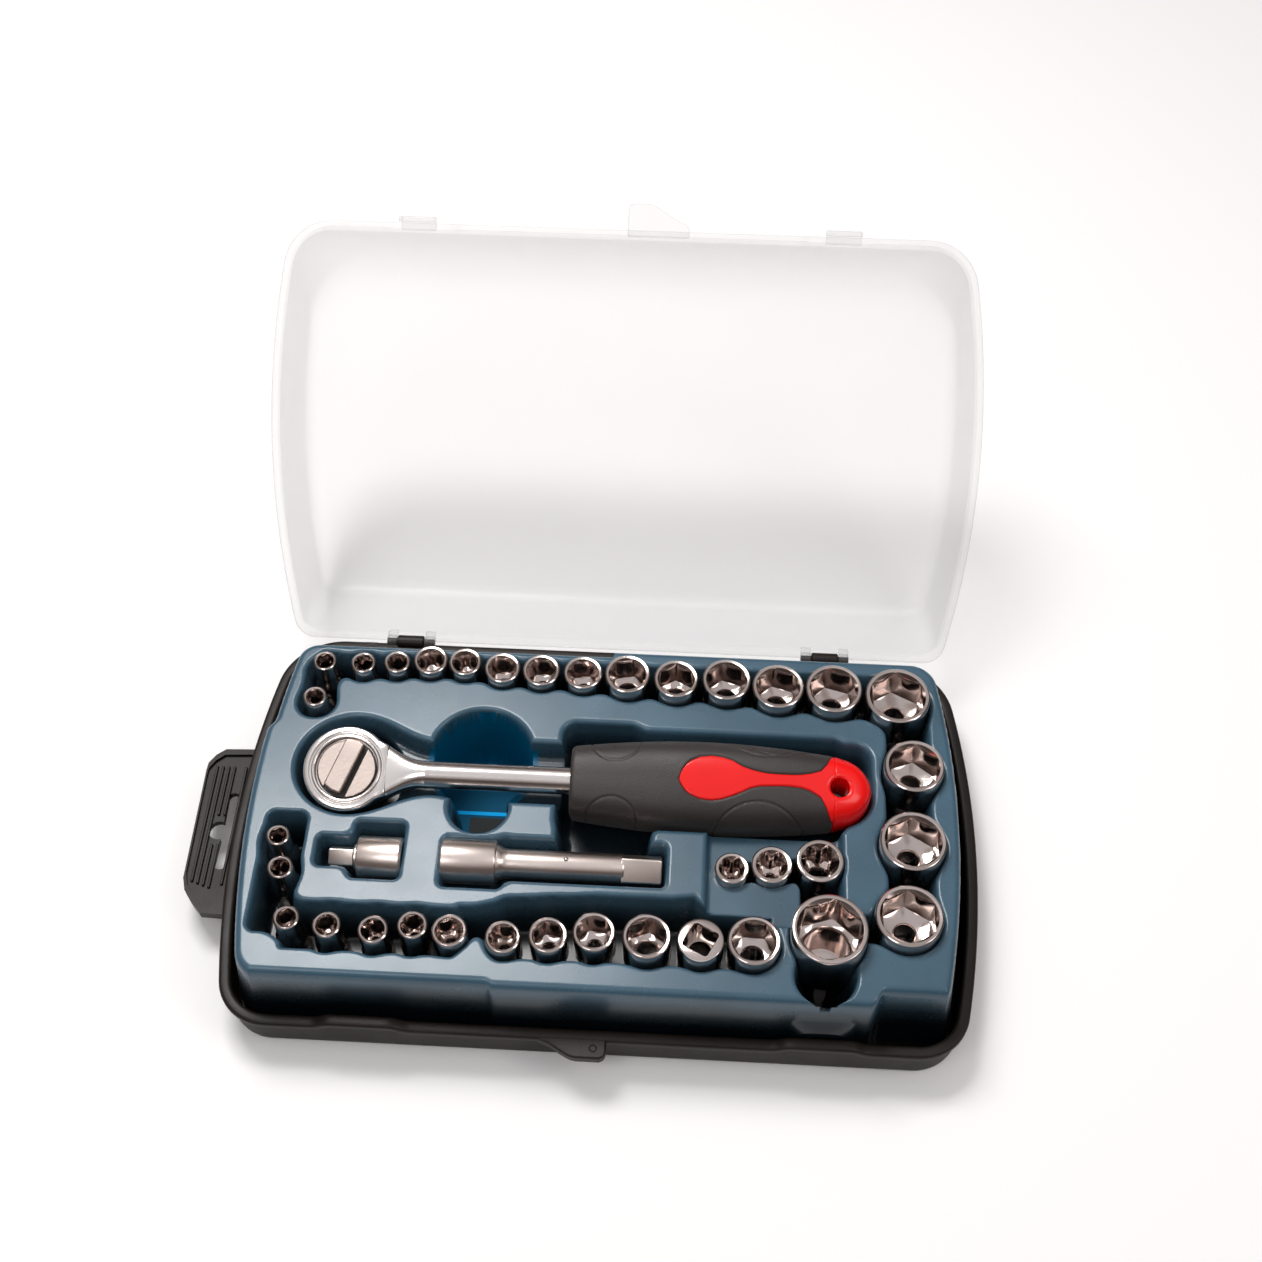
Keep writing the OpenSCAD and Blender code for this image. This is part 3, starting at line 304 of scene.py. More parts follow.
def material(name, color, rough, metallic=0.0, vary=0.0, rough_vary=0.0, grain=0.0,
             grain_scale=800.0, coat=0.0, specular=0.5, sheen=0.0, painted_shade=()):
    """A material whose colour, roughness and bump come from noise.

    An optional list of (height in millimetres, share of the colour left there) paints shade: the colour
    darkens lower down, deep in the pockets.
    """
    mat, nodes, links, shader = principled(name, {
        "Base Color": (*color, 1), "Roughness": rough, "Metallic": metallic, "Coat Weight": coat,
        "Coat Roughness": 0.15, "Specular IOR Level": specular, "Sheen Weight": sheen})
    coord = nodes.new("ShaderNodeTexCoord")

    def noise(scale, detail=3.0):
        tex = nodes.new("ShaderNodeTexNoise")
        tex.inputs["Scale"].default_value = scale
        tex.inputs["Detail"].default_value = detail
        links.new(coord.outputs["Object"], tex.inputs["Vector"])
        return tex.outputs["Fac"]

    if vary:
        ramp = nodes.new("ShaderNodeValToRGB")
        dark, light = (tuple(c * (1 + s * vary) for c in color) for s in (-1, 1))
        set_stops(ramp, ((0.3, dark), (0.7, light)))
        links.new(noise(35.0), ramp.inputs["Fac"])
        links.new(ramp.outputs["Color"], shader.inputs["Base Color"])
    # painted shade: the colour is darkened lower down, in the pockets and down the walls
    if painted_shade:
        split = nodes.new("ShaderNodeSeparateXYZ")
        links.new(coord.outputs["Object"], split.inputs["Vector"])
        height = nodes.new("ShaderNodeMapRange")
        low, high = painted_shade[0][0] * MM, painted_shade[-1][0] * MM
        height.inputs["From Min"].default_value = low
        height.inputs["From Max"].default_value = high
        links.new(split.outputs["Z"], height.inputs["Value"])
        shade = nodes.new("ShaderNodeValToRGB")
        set_stops(shade, [((z * MM - low) / (high - low), (share,) * 3) for z, share in painted_shade])
        links.new(height.outputs["Result"], shade.inputs["Fac"])
        mix = nodes.new("ShaderNodeVectorMath")
        mix.operation = "MULTIPLY"
        links.new(ramp.outputs["Color"], mix.inputs[0])
        links.new(shade.outputs["Color"], mix.inputs[1])
        links.new(mix.outputs["Vector"], shader.inputs["Base Color"])
    if rough_vary:
        spread = nodes.new("ShaderNodeMapRange")
        spread.inputs["To Min"].default_value = max(rough - rough_vary, 0.02)
        spread.inputs["To Max"].default_value = rough + rough_vary
        links.new(noise(60.0, 5.0), spread.inputs["Value"])
        links.new(spread.outputs["Result"], shader.inputs["Roughness"])
    if grain:
        bump = nodes.new("ShaderNodeBump")
        bump.inputs["Strength"].default_value = grain
        bump.inputs["Distance"].default_value = 0.0002
        links.new(noise(grain_scale, 2.0), bump.inputs["Height"])
        links.new(bump.outputs["Normal"], shader.inputs["Normal"])
    return mat


# painted shade on the tray: (height in millimetres, share of the colour left there), darker lower down in
# its pockets, down its outer wall and its skirt
TRAY_PAINTED_SHADE = ((4.0, 0.04), (20.0, 0.05), (28.0, 0.13), (34.0, 0.42), (37.2, 0.82), (41.5, 0.94),
             (42.4, 1.0))
BLACK = material("black_plastic", (0.013, 0.0095, 0.0075), 0.42, specular=0.25, vary=0.25,
                 rough_vary=0.08, grain=0.25, grain_scale=1500.0)
TRAY = material("tray_sheet", (0.050, 0.110, 0.160), 0.28, vary=0.14, rough_vary=0.06,
                grain=0.04, grain_scale=260.0, coat=0.1, specular=0.45, painted_shade=TRAY_PAINTED_SHADE)
WRENCH = material("wrench_chrome", (0.82, 0.77, 0.745), 0.2, metallic=1.0, vary=0.05, rough_vary=0.05,
                  grain=0.08, grain_scale=600.0)
CHROME = material("chrome_plate", (0.61, 0.53, 0.50), 0.13, metallic=1.0, vary=0.05,
                  rough_vary=0.05, grain=0.04, grain_scale=500.0)
SATIN = material("satin_steel", (0.52, 0.44, 0.40), 0.38, metallic=1.0, vary=0.12,
                 rough_vary=0.1, grain=0.25, grain_scale=900.0)
STEEL = material("small_steel", (0.6, 0.59, 0.58), 0.28, metallic=1.0, rough_vary=0.08)
RUBBER = material("grip_rubber", (0.031, 0.025, 0.023), 0.46, vary=0.14, rough_vary=0.07,
                  grain=0.5, grain_scale=1800.0, sheen=0.08)
RED = material("grip_red", (0.92, 0.007, 0.007), 0.25, specular=0.3, vary=0.06, rough_vary=0.05,
               grain=0.05, grain_scale=300.0, coat=0.3)
CARD = material("label_card", (0.0, 0.07, 0.14), 0.7, vary=0.15, rough_vary=0.05, specular=0.15)
CYAN = material("label_cyan", (0.0, 0.42, 0.92), 0.7, vary=0.05, rough_vary=0.05, specular=0.15)
TEAL = material("tray_hole", (0.0, 0.11, 0.22), 0.4, vary=0.12, rough_vary=0.05, specular=0.3)
# painted shade: a dark sheet under the dial that shows in its gaps and groove, where shade falls
PAINTED_GAP_SHADE = material("painted_gap_shade", (0.022, 0.019, 0.018), 0.5, vary=0.15, rough_vary=0.08)
BAR_SATIN = material("bar_satin", (0.80, 0.70, 0.65), 0.30, metallic=1.0, vary=0.06, rough_vary=0.06,
                     grain=0.12, grain_scale=700.0)
INK = material("label_ink", (0.012, 0.014, 0.016), 0.6, vary=0.1, rough_vary=0.05, specular=0.2)


def clear_plastic():
    """Thin clear plastic with a faint milky haze: see-through, and glossy at its edges."""
    mat, nodes, links, shader = principled("clear_plastic", {
        "Base Color": (0.52, 0.525, 0.535, 1), "Roughness": 0.12, "IOR": 1.49})
    coord = nodes.new("ShaderNodeTexCoord")
    tex = nodes.new("ShaderNodeTexNoise")
    tex.inputs["Scale"].default_value = 12.0
    links.new(coord.outputs["Object"], tex.inputs["Vector"])
    edge = nodes.new("ShaderNodeLayerWeight")
    edge.inputs["Blend"].default_value = 0.25
    haze = nodes.new("ShaderNodeMapRange")
    haze.inputs["To Min"].default_value = 0.07
    haze.inputs["To Max"].default_value = 0.10
    links.new(tex.outputs["Fac"], haze.inputs["Value"])
    total = nodes.new("ShaderNodeMath")
    total.operation = "MULTIPLY_ADD"
    total.inputs[1].default_value = 0.36
    total.use_clamp = True
    links.new(edge.outputs["Facing"], total.inputs[0])
    links.new(haze.outputs["Result"], total.inputs[2])
    links.new(total.outputs["Value"], shader.inputs["Alpha"])
    return mat


CLEAR = clear_plastic()

# ---- tray: a formed sheet, as a height over (x, y) ----

DIAL_AT = np.array(JOINTS["dial_turn"]["pos_m"]) / MM
DIAL_AXIS = np.array(JOINTS["dial_turn"]["axis"])
DIAL_RISE = 3.0  # the dial's joint lies this far above the wrench's own axis
WRENCH_AXIS = DIAL_AT - DIAL_RISE * DIAL_AXIS
HEAD_X, WRENCH_Y = WRENCH_AXIS[:2]
FINGER_AT, FINGER_R, TEAL_TOP = (-48.4, 20.0), 20.6, 38.0
BASE_BACK_R = 26.0  # the case's rear corners are rounder than its front ones

SOCKETS = {n: node_mid(n) for n in frame["nodes"] if n.startswith("socket_")}
SOCKET_R = {n: (node_box(n)[1] - node_box(n)[0])[0] / 2 for n in SOCKETS}


def family(prefix):
    names = [n for n in SOCKETS if n.startswith(prefix)]
    return sorted(names, key=lambda n: int(n.rsplit("_", 1)[1]))


BACK, FRONT = family("socket_back_"), family("socket_front_")
LEFT, RIGHT, STAR = family("socket_left_"), family("socket_right_"), family("socket_star_")
PLUG = "socket_spark_plug"


def sd_circle(x, y, cx, cy, r):
    return np.hypot(x - cx, y - cy) - r


def sd_box(x, y, x0, y0, x1, y1, r=3.0):
    """Rounded rectangle between two corners."""
    qx = np.abs(x - (x0 + x1) / 2) - (x1 - x0) / 2 + r
    qy = np.abs(y - (y0 + y1) / 2) - (y1 - y0) / 2 + r
    return np.hypot(np.maximum(qx, 0), np.maximum(qy, 0)) + np.minimum(np.maximum(qx, qy), 0) - r


def sd_polygon(x, y, points):
    """Signed distance to a closed polygon, negative inside."""
    pts = np.asarray(points, float)
    best = np.full(x.shape, 1e9)
    inside = np.zeros(x.shape, bool)
    for (ax, ay), (bx, by) in zip(pts, np.roll(pts, -1, axis=0)):
        ex, ey = bx - ax, by - ay
        t = np.clip(((x - ax) * ex + (y - ay) * ey) / (ex * ex + ey * ey), 0, 1)
        best = np.minimum(best, np.hypot(x - ax - t * ex, y - ay - t * ey))
        if ey:
            crosses = (ay > y) != (by > y)
            inside ^= crosses & (x < (y - ay) / ey * ex + ax)
    return np.where(inside, -best, best)


def smooth_min(shapes, k):
    """Union of distances, with fillets of about k where they meet."""
    total = shapes[0]
    for s in shapes[1:]:
        h = np.maximum(k - np.abs(total - s), 0) / k
        total = np.minimum(total, s) - h * h * k / 4
    return total


def fall(u, depth, r_top, r_low, slope):
    """Depth of a drafted wall u inside its top edge, with a fillet at each end."""
    lean = slope / math.sqrt(1 + slope**2)
    u1, u2 = r_top * lean, r_low * lean
    d1 = r_top * (1 - math.sqrt(1 - lean**2))
    d2 = r_low * (1 - math.sqrt(1 - lean**2))
    run = max(depth - d1 - d2, 0.0) / slope
    start = r_top - np.sqrt(np.maximum(r_top**2 - np.clip(u, 0, u1) ** 2, 0))
    middle = slope * np.clip(u - u1, 0, run)
    v = np.clip(u - u1 - run, 0, u2)
    end = d2 - (r_low - np.sqrt(np.maximum(r_low**2 - (u2 - v) ** 2, 0)))
    return np.where(u <= 0, 0.0, start + middle + end)


def row_distance(x, y, names, wall, reach, room=1.0, blend=4.0):
    """A scalloped trench: a circle round each socket and a strip from wall to reach."""
    shapes = [sd_circle(x, y, *SOCKETS[n][:2], SOCKET_R[n] + room) for n in names]
    for a, b in zip(names, names[1:]):
        ends = [SOCKETS[a], SOCKETS[b]]
        near = np.mean([reach(p, SOCKET_R[n]) for p, n in zip(ends, (a, b))])
        low, high = sorted((near, wall))
        shapes.append(sd_box(x, y, ends[0][0] - 2, low, ends[1][0] + 2, high, 1.5))
    return smooth_min(shapes, blend)


def notch_distance(x, y):
    """Distance to the round notch in front of the large socket."""
    px, py, _ = SOCKETS[PLUG]
    return sd_circle(x, y, px + PLUG_NOTCH[0], py + PLUG_NOTCH[1], PLUG_NOTCH[2])


# the strip behind the front row's right half, from the left along its back edge and home
FRONT_EDGE = [(-49.0, -46.3), (-43.0, -45.5), (-31.0, -42.1), (-18.8, -40.8), (0.7, -39.0),
              (28.0, -38.9), (36.0, -37.8), (38.5, -41.0), (40.0, -42.2), (65.0, -42.2),
              (65.0, -57.0), (-49.0, -57.0)]
PLUG_NOTCH = (-1.0, -14.8, 11.8)  # place from the large socket's middle, and radius


def tray_pockets(x, y):
    """Distance, floor height, top fillet, low fillet and any wall slope of each group of pockets."""

    def wells(names, room):
        """Round wells, wider than their sockets by room."""
        return [sd_circle(x, y, *SOCKETS[n][:2], SOCKET_R[n] + room) for n in names]

    back = smooth_min([
        row_distance(x, y, BACK, 64.5, lambda p, r: p[1] - 0.8 * r),
        sd_box(x, y, -123.5, 34.5, -108.8, 60.0, 6.0),
        *wells(LEFT[:1], 1.5),
        sd_box(x, y, 108.0, 15.0, 126.0, 56.0, 5.0),
    ], 4.0)
    right = smooth_min(wells(RIGHT, 1.1) + [sd_box(x, y, 107.0, -46.0, 125.5, 20.0, 4.0)], 4.0)
    front_left = smooth_min([
        row_distance(x, y, FRONT[:5], -66.0, lambda p, r: -47.5),
        sd_box(x, y, -113.5, -60.0, -44.5, -46.6, 4.0),
        sd_box(x, y, -127.0, -60.0, -110.6, -9.0, 4.0),
        *wells(LEFT[1:], 1.0),
    ], 4.0)
    front_right = smooth_min([
        row_distance(x, y, FRONT[5:], -65.5, lambda p, r: -42.0),
        sd_polygon(x, y, FRONT_EDGE) - 1.0,
    ], 4.0)
    link = sd_box(x, y, 88.0, -53.0, 112.0, -41.0, 2.0)
    trench = smooth_min([back, right, front_left, front_right, link], 3.0)

    px, py, _ = SOCKETS[PLUG]
    plug = smooth_min([sd_circle(x, y, px, py, 14.9), notch_distance(x, y)], 3.0)
    stars = smooth_min([
        row_distance(x, y, STAR, -28.0, lambda p, r: p[1] + 0.45 * r, 0.9, 4.0),
        sd_box(x, y, 74.0, -46.0, 91.0, -22.0, 3.0),
    ], 3.0)
    platform = sd_box(x, y, 39.5, -48.0, 91.5, -6.0, 3.0)
    grip = smooth_min([
        sd_box(x, y, -17.5, -10.8, 92.0, 34.4, 5.0),
        sd_box(x, y, -17.5, -12.0, 14.5, 36.9, 6.0),
        sd_box(x, y, 78.0, 8.0, 103.4, 32.4, 8.0),
        sd_circle(x, y, 88.0, 9.0, 15.5),
        sd_box(x, y, -17.5, -26.0, 20.0, 4.0, 3.0),
    ], 3.0)
    head = sd_circle(x, y, HEAD_X + 0.2, WRENCH_Y + 4.6, 22.4)
    trough = smooth_min([
        head,
        sd_box(x, y, -100.0, -0.2, -47.0, 25.0, 4.0),
        sd_box(x, y, -52.0, -1.8, -10.0, 26.8, 4.0),
    ], 14.0)
    finger = smooth_min(
        [sd_circle(x, y, *FINGER_AT, FINGER_R), sd_circle(x, y, -47.2, -3.5, 12.2)], 3.0)
    bars = smooth_min([
        sd_box(x, y, -59.3, -38.6, -34.5, -16.4, 3.0),
        sd_box(x, y, -37.0, -35.0, 26.0, -15.5, 3.0),
    ], 4.0)
    adapter = smooth_min([
        sd_box(x, y, -106.6, -32.3, -90.0, -18.2, 3.0),
        sd_box(x, y, -93.3, -36.8, -72.8, -11.4, 3.0),
    ], 4.0)
    bar_floor = node_box("extension_bar")[0][2] - 0.3
    return [
        (trench, TRENCH_FLOOR, 1.7, 2.0),
        (plug, 4.0, 1.7, 2.0),
        (stars, STAR_FLOOR, 1.5, 2.0),
        (platform, PLATFORM_TOP, 1.8, 1.5),
        (grip, node_box("grip_core")[0][2] - 0.3, 2.2, 3.0),
        (head, 17.0, 2.0, 3.0),
        (trough, 33.0, 2.2, 3.0),
        (finger, 4.0, 2.2, 1.0, FINGER_SLOPE),
        (bars, bar_floor, 2.0, 2.5),
        (adapter, bar_floor, 2.0, 2.5),
    ]


WALL_SLOPE, FINGER_SLOPE = 7.0, 25.0
OUTER_SLOPE, OUTER_R, OUTER_DROP = 9.0, 3.0, 38.5
RIDGE_POWER = 9.0  # how tightly ridges between two pockets are rounded
TRAY_EDGE = 5.0  # the sheet's edge lies this far inside the rim's outer edge
WALL_FOOT = 6.7  # how far out the outer wall's foot lies from the start of its top edge
LIP_W, LIP_FROM, LIP_SLOPE = 2.4, -71.0, 1.7  # raised lip round the large socket's notch
# edge of the tray's flat top
TOP_SIDE_IN, TOP_FRONT, TOP_BACK, TOP_FRONT_R, TOP_BACK_R = 12.8, -74.0, 68.2, 9.0, 8.0
# the front edge steps in left of one place and right of another; the left edge steps in behind a third
JOG_LEFT_X, JOG_RIGHT_X, JOG_BACK_Y = -36.0, 103.0, 29.5
JOG_LEFT_IN, JOG_RIGHT_IN, JOG_BACK_IN = 1.3, 6.0, 2.4


def soft_step(t):
    return 1 / (1 + np.exp(-np.clip(t, -30, 30)))


def outer_wall(x, y):
    """Distance outside the line at which the tray's top starts to round over its outer wall."""
    plain = outline_distance(x, y, TOP_SIDE_IN, TOP_FRONT, TOP_BACK, TOP_FRONT_R, TOP_BACK_R)
    jog_left = JOG_LEFT_IN * soft_step((JOG_LEFT_X - x) / 0.6)
    jog_right = JOG_RIGHT_IN * soft_step((x - JOG_RIGHT_X) / 0.8)
    jog_back = JOG_BACK_IN * soft_step((y - JOG_BACK_Y) / 0.9) * (x < 0)
    return np.maximum(plain + jog_back, TOP_FRONT - y + jog_left + jog_right)


def tray_height(x, y):
    """Height of the formed sheet: its outer wall and all of its pockets blend by a power sum."""
    outer = fall(outer_wall(x, y), OUTER_DROP, OUTER_R, 2.0, OUTER_SLOPE)
    lip = fall(notch_distance(x, y) - LIP_W, OUTER_DROP, 2.5, 2.0, 6.0)
    lip += LIP_SLOPE * np.maximum(LIP_FROM - y, 0)
    depths = [np.minimum(outer, lip)]
    for sd, floor, r_top, r_low, *slope in tray_pockets(x, y):
        wall = slope[0] if slope else WALL_SLOPE
        depths.append(fall(-sd + 0.55 * r_top, TRAY_TOP - floor, r_top, r_low, wall))
    stack = np.stack(depths)
    deepest = np.maximum(stack.max(0), 1e-6)
    total = deepest * ((stack / deepest) ** RIDGE_POWER).sum(0) ** (1 / RIDGE_POWER)
    # where one pocket lies wholly inside another, its floor stays flat
    total = np.minimum(total, deepest + 1.2)
    return TRAY_TOP - np.minimum(total, TRAY_TOP - FLOOR_T - 0.5)


def tray_normals(mesh):
    """Normals from the height itself, so that the sheet shades evenly over its grid."""
    co = np.empty(len(mesh.vertices) * 3)
    mesh.vertices.foreach_get("co", co)
    x, y, _ = co.reshape(-1, 3).T / MM
    step = 0.06
    dx = (tray_height(x + step, y) - tray_height(x - step, y)) / (2 * step)
    dy = (tray_height(x, y + step) - tray_height(x, y - step)) / (2 * step)
    normals = np.column_stack((-dx, -dy, np.ones(len(x))))
    return normals / np.linalg.norm(normals, axis=1, keepdims=True)


def build_tray():
    """The sheet as a grid, with its skirt; the inside of the finger hole is teal."""
    cell = 0.53
    xs = np.arange(-CASE_W / 2, CASE_W / 2 + cell, cell)
    ys = np.arange(-CASE_D / 2, CASE_D / 2 + cell, cell)
    gx, gy = np.meshgrid(xs, ys)

    def edge(x, y):
        # the sheet ends at the foot of its outer wall, or near the rim
        foot = np.minimum(outer_wall(x, y) - WALL_FOOT, notch_distance(x, y) - LIP_W - WALL_FOOT)
        return np.maximum(outline_distance(x, y, r_back=BASE_BACK_R) + TRAY_EDGE, foot)

    gap = edge(gx, gy)
    # pull the first grid points outside the edge back onto it, so the edge is even
    step = 0.05
    nx = (edge(gx + step, gy) - edge(gx - step, gy)) / (2 * step)
    ny = (edge(gx, gy + step) - edge(gx, gy - step)) / (2 * step)
    near = (gap > 0) & (gap < 1.5 * cell)
    gx = np.where(near, gx - nx * gap, gx)
    gy = np.where(near, gy - ny * gap, gy)
    keep = gap < 1.5 * cell
    gz = tray_height(gx, gy)
    index = -np.ones(gx.shape, int)
    index[keep] = np.arange(keep.sum())
    quads = np.stack((index[:-1, :-1], index[:-1, 1:], index[1:, 1:], index[1:, :-1]), -1)
    quads = quads[(quads >= 0).all(-1)]
    verts = np.column_stack((gx[keep], gy[keep], gz[keep]))
    # a skirt hangs from the sheet's edge down to the base's floor; the tray's painted shade makes it
    # nearly black
    sides = np.concatenate([quads[:, [a, b]] for a, b in ((0, 1), (1, 2), (2, 3), (3, 0))])
    keys, counts = np.unique(np.sort(sides, 1), axis=0, return_counts=True)
    rim = keys[counts == 1]
    top, low = verts[rim], verts[rim] * (1, 1, 0) + (0, 0, FLOOR_T + 0.3)
    walls = np.stack((top[:, 0], top[:, 1], low[:, 1], low[:, 0]), 1).reshape(-1, 3)
    skirt = walls, np.arange(len(walls)).reshape(-1, 4).tolist()
    piece("tray_skirt", [skirt], TRAY, "case", sharp=60, merge=0.01)
    mesh = bpy.data.meshes.new("tray_sheet")
    mesh.from_pydata(verts * MM, [], quads.tolist())
    bm = bmesh.new()
    bm.from_mesh(mesh)
    bmesh.ops.delete(bm, geom=[v for v in bm.verts if not v.link_faces], context="VERTS")
    bmesh.ops.remove_doubles(bm, verts=bm.verts, dist=1e-6)
    for face in bm.faces:
        face.smooth = True
        mid = face.calc_center_median() / MM
        in_hole = math.hypot(mid.x - FINGER_AT[0], mid.y - FINGER_AT[1]) < FINGER_R + 1.2
        face.material_index = int(in_hole and mid.z < TEAL_TOP)
    bm.to_mesh(mesh)
    bm.free()
    mesh.materials.append(TRAY)
    mesh.materials.append(TEAL)
    mesh.normals_split_custom_set_from_vertices(tray_normals(mesh))
    add_object(mesh, "case", [n for n in frame["nodes"] if n.startswith("tray_")])


build_tray()

# ---- base ----


def build_base():
    """The base's shell, turned in section round the case's outline, and its small hook."""
    wall = RIM_OVER
    under = BASE_H - RIM_H
    profile = [  # (inset, z) from the middle of the underside, round the outside, to the floor
        (wall + 6.0, 0.0), (wall + 2.4, 0.0), (wall + 0.9, 0.5), (wall + 0.2, 1.6), (wall, 3.2),
        (wall, under - 1.2), (wall - 0.25, under - 0.5), (wall - 0.9, under - 0.1),
        (0.5, under), (0.12, under + 0.35), (0.0, under + 0.9),
        (0.0, BASE_H - 1.1), (0.25, BASE_H - 0.45), (0.75, BASE_H - 0.1), (1.3, BASE_H),
        (RIM_W - 1.4, BASE_H), (RIM_W - 0.6, BASE_H - 0.2), (RIM_W - 0.15, BASE_H - 0.7),
        (RIM_W, BASE_H - 1.5), (RIM_W + 0.1, FLOOR_T + 1.0), (RIM_W + 1.0, FLOOR_T),
    ]
    body = loft([case_ring(i, z) for i, z in profile])
    hook = box_part((-106.0, CASE_D / 2 - 4.0, BASE_H - 0.4), (-101.0, CASE_D / 2 - 0.6, BASE_H + 0.25))
    piece("base_case", [body, hook], BLACK, "case", ["base_shell"], sharp=40)


def build_base_tab():
    """The base's half of the pull tab, with a small round gate mark on it."""
    front = -CASE_D / 2
    outline = np.array([(-19.0, front + 1.5), (-18.2, front - 0.1), (-14.5, front - 1.4),
                        (-9.5, front - 4.5), (-6.6, front - 6.0), (-4.5, front - 6.4),
                        (4.2, front - 6.4), (6.0, front - 5.5), (6.5, front - 3.8), (6.5, front + 1.5)])
    top = BASE_H - 0.3
    tab = prism(outline, BASE_H - 4.5, top)
    bevel(piece("base_pull_tab", [tab], BLACK, "case", sharp=30), 0.7, 3)
    mark = lathe([(HUB, -0.2), (1.5, -0.2), (1.5, 0.12), (1.25, 0.25), (1.0, 0.12), (0.95, -0.05),
                  (HUB, -0.05)], 32)
    piece("base_gate_mark", [shifted(mark, 1.8, front - 2.6, top)], BLACK, "case")


HANG_OUTLINE = [(-141.5, 32.8), (-156.0, 32.2), (-159.5, 29.4), (-162.0, 25.5), (-162.25, 22.2),
                (-161.5, -26.5), (-160.0, -31.6), (-156.3, -36.6), (-152.2, -41.0), (-141.5, -41.4)]


def build_hang_tab():
    """Side tab: a sheet with a display slot, a raised border and ribs along it."""
    top = BASE_H - RIM_H - 1.0
    low, floor_z = top - 4.0, top - 1.3
    border = 2.6
    slot_x, mid, slot_half, slot_r, bulge = -148.8, -4.5, 14.8, 2.35, -3.4
    slot = np.concatenate([
        arc(slot_x, mid + slot_half, slot_r, 0, 180, 13),
        arc(slot_x + bulge, mid, 4.0, 70, 290, 17),
        arc(slot_x, mid - slot_half, slot_r, 180, 360, 13),
    ])
    bm = bmesh.new()

    def loop(points, z):
        vs = [bm.verts.new(Vector((x, y, z)) * MM) for x, y in points]
        es = [bm.edges.new((vs[i], vs[(i + 1) % len(vs)])) for i in range(len(vs))]
        return vs, es

    def wall(loops):
        for (va, _), (vb, _) in zip(loops, loops[1:]):
            for i in range(len(va)):
                j = (i + 1) % len(va)
                bm.faces.new((va[i], va[j], vb[j], vb[i]))

    outer = np.array(HANG_OUTLINE)
    inward = outer.mean(0) - outer
    inner = outer + inward / np.linalg.norm(inward, axis=1)[:, None] * border
    inner[0, 0] = inner[-1, 0] = HANG_OUTLINE[0][0] - 0.1  # the border is open towards the case
    edges = [loop(p, z) for p, z in ((outer, low), (outer, top), (inner, top), (inner, floor_z))]
    wall(edges)
    slots = [loop(slot, floor_z), loop(slot, low)]
    wall(slots)
    bmesh.ops.triangle_fill(bm, use_beauty=True, edges=edges[3][1] + slots[0][1])
    bmesh.ops.triangle_fill(bm, use_beauty=True, edges=edges[0][1] + slots[1][1])
    add_object(finished_mesh("hang_tab", bm, BLACK, 30), "case")
    ribs = []
    for k in (0, 1, 2, 3, 5, 6):  # the slot takes the place of the fifth rib
        x = -158.2 + 2.35 * k
        y0, y1 = -30.0 + 0.8 * abs(k - 3), 24.5
        runs = [(y0, mid - 6.5), (mid + 6.5, y1)] if k in (2, 3) else [(y0, y1)]
        for a, b in runs:
            ribs.append(box_part((x - 0.55, a, floor_z - 0.3), (x + 0.55, b, top - 0.35)))
    bevel(piece("hang_tab_ribs", ribs, BLACK, "case", sharp=30), 0.3, 2)


KNUCKLE_X, KNUCKLE_R = 87.0, 2.8


def build_knuckles():
    """The base's two hinge knuckles, each with the web that carries it."""
    width, r, edge = 11.0, KNUCKLE_R, 0.4
    profile = [(HUB, 0), (r - edge, 0), (r, edge), (r, width - edge), (r - edge, width), (HUB, width)]
    for side, name in ((-1, "left"), (1, "right")):
        x = side * KNUCKLE_X - width / 2
        barrel = shifted(along_x(lathe(profile, 36)), x, HINGE_Y, HINGE_Z)
        web = box_part((x, CASE_D / 2 - 2.6, BASE_H - 7.5), (x + width, HINGE_Y + 1.6, HINGE_Z - 0.4))
        knuckle = piece("knuckle_" + name, [barrel, web], BLACK, "case", sharp=40)
        bevel(knuckle, 0.25, 2, 50)


build_base()
build_base_tab()
build_hang_tab()
build_knuckles()
paint(BLACK, "hinge_pins")

# ---- label in the finger hole ----


def build_label():
    """A round card with plain coloured segments and a plain dark block."""
    low, high = node_box("floor_label")
    cx, cy = (low[:2] + high[:2]) / 2
    z, r = high[2], (high[0] - low[0]) / 2
    card = lathe([(HUB, low[2]), (r, low[2]), (r, z - 0.1), (r - 0.1, z), (HUB, z)], 96)
    piece("label_card", [shifted(card, cx, cy)], CARD, "case", ["floor_label"])

    def segment(y0, y1, half=99.0, n=24):
        """The part of the card between two heights, kept inside its edge."""
        ys = np.linspace(y0, y1, n)
        xs = np.minimum(np.sqrt(np.maximum((r - 0.4) ** 2 - ys**2, 0)), half)
        side = np.column_stack((xs, ys))
        return prism(np.concatenate([side, (side * (-1, 1))[::-1]]), z - 0.05, z + 0.12)

    rings = [segment(0.72 * r, r - 0.4), segment(-r + 0.4, -0.80 * r), segment(-0.30 * r, -0.22 * r)]
    piece("label_rings", [shifted(p, cx, cy) for p in rings], CYAN, "case")
    piece("label_bar", [shifted(segment(-0.78 * r, -0.36 * r, 0.42 * r), cx, cy)], INK, "case")


build_label()

# ---- lid: drawn closed about its hinge, s forward from the hinge and t up, then opened ----

OPEN_TURN = Matrix.Translation((0, HINGE_Y, HINGE_Z)) @ Matrix.Rotation(-math.radians(LID_OPEN), 4, "X")
LID_FRONT_R, LID_BACK_R = 20.7, 9.0
LID_EDGE_R, LID_REAR_R = 7.0, 5.0  # roundings of the dome's roof, at its sides and its back


def opened(part):
    return moved(part, OPEN_TURN)


def lid_ring(t, inset, front_in, back_in, r_front, r_back):
    """The lid's outline at height t above its rim's foot."""
    pts = case_loop(inset, -CASE_D / 2 + front_in, CASE_D / 2 - back_in, r_front, r_back)
    rise = front_wave(*pts.T) * (t < LID_RIM_H + 0.4)
    return np.column_stack((pts - (0, HINGE_Y), t + rise))


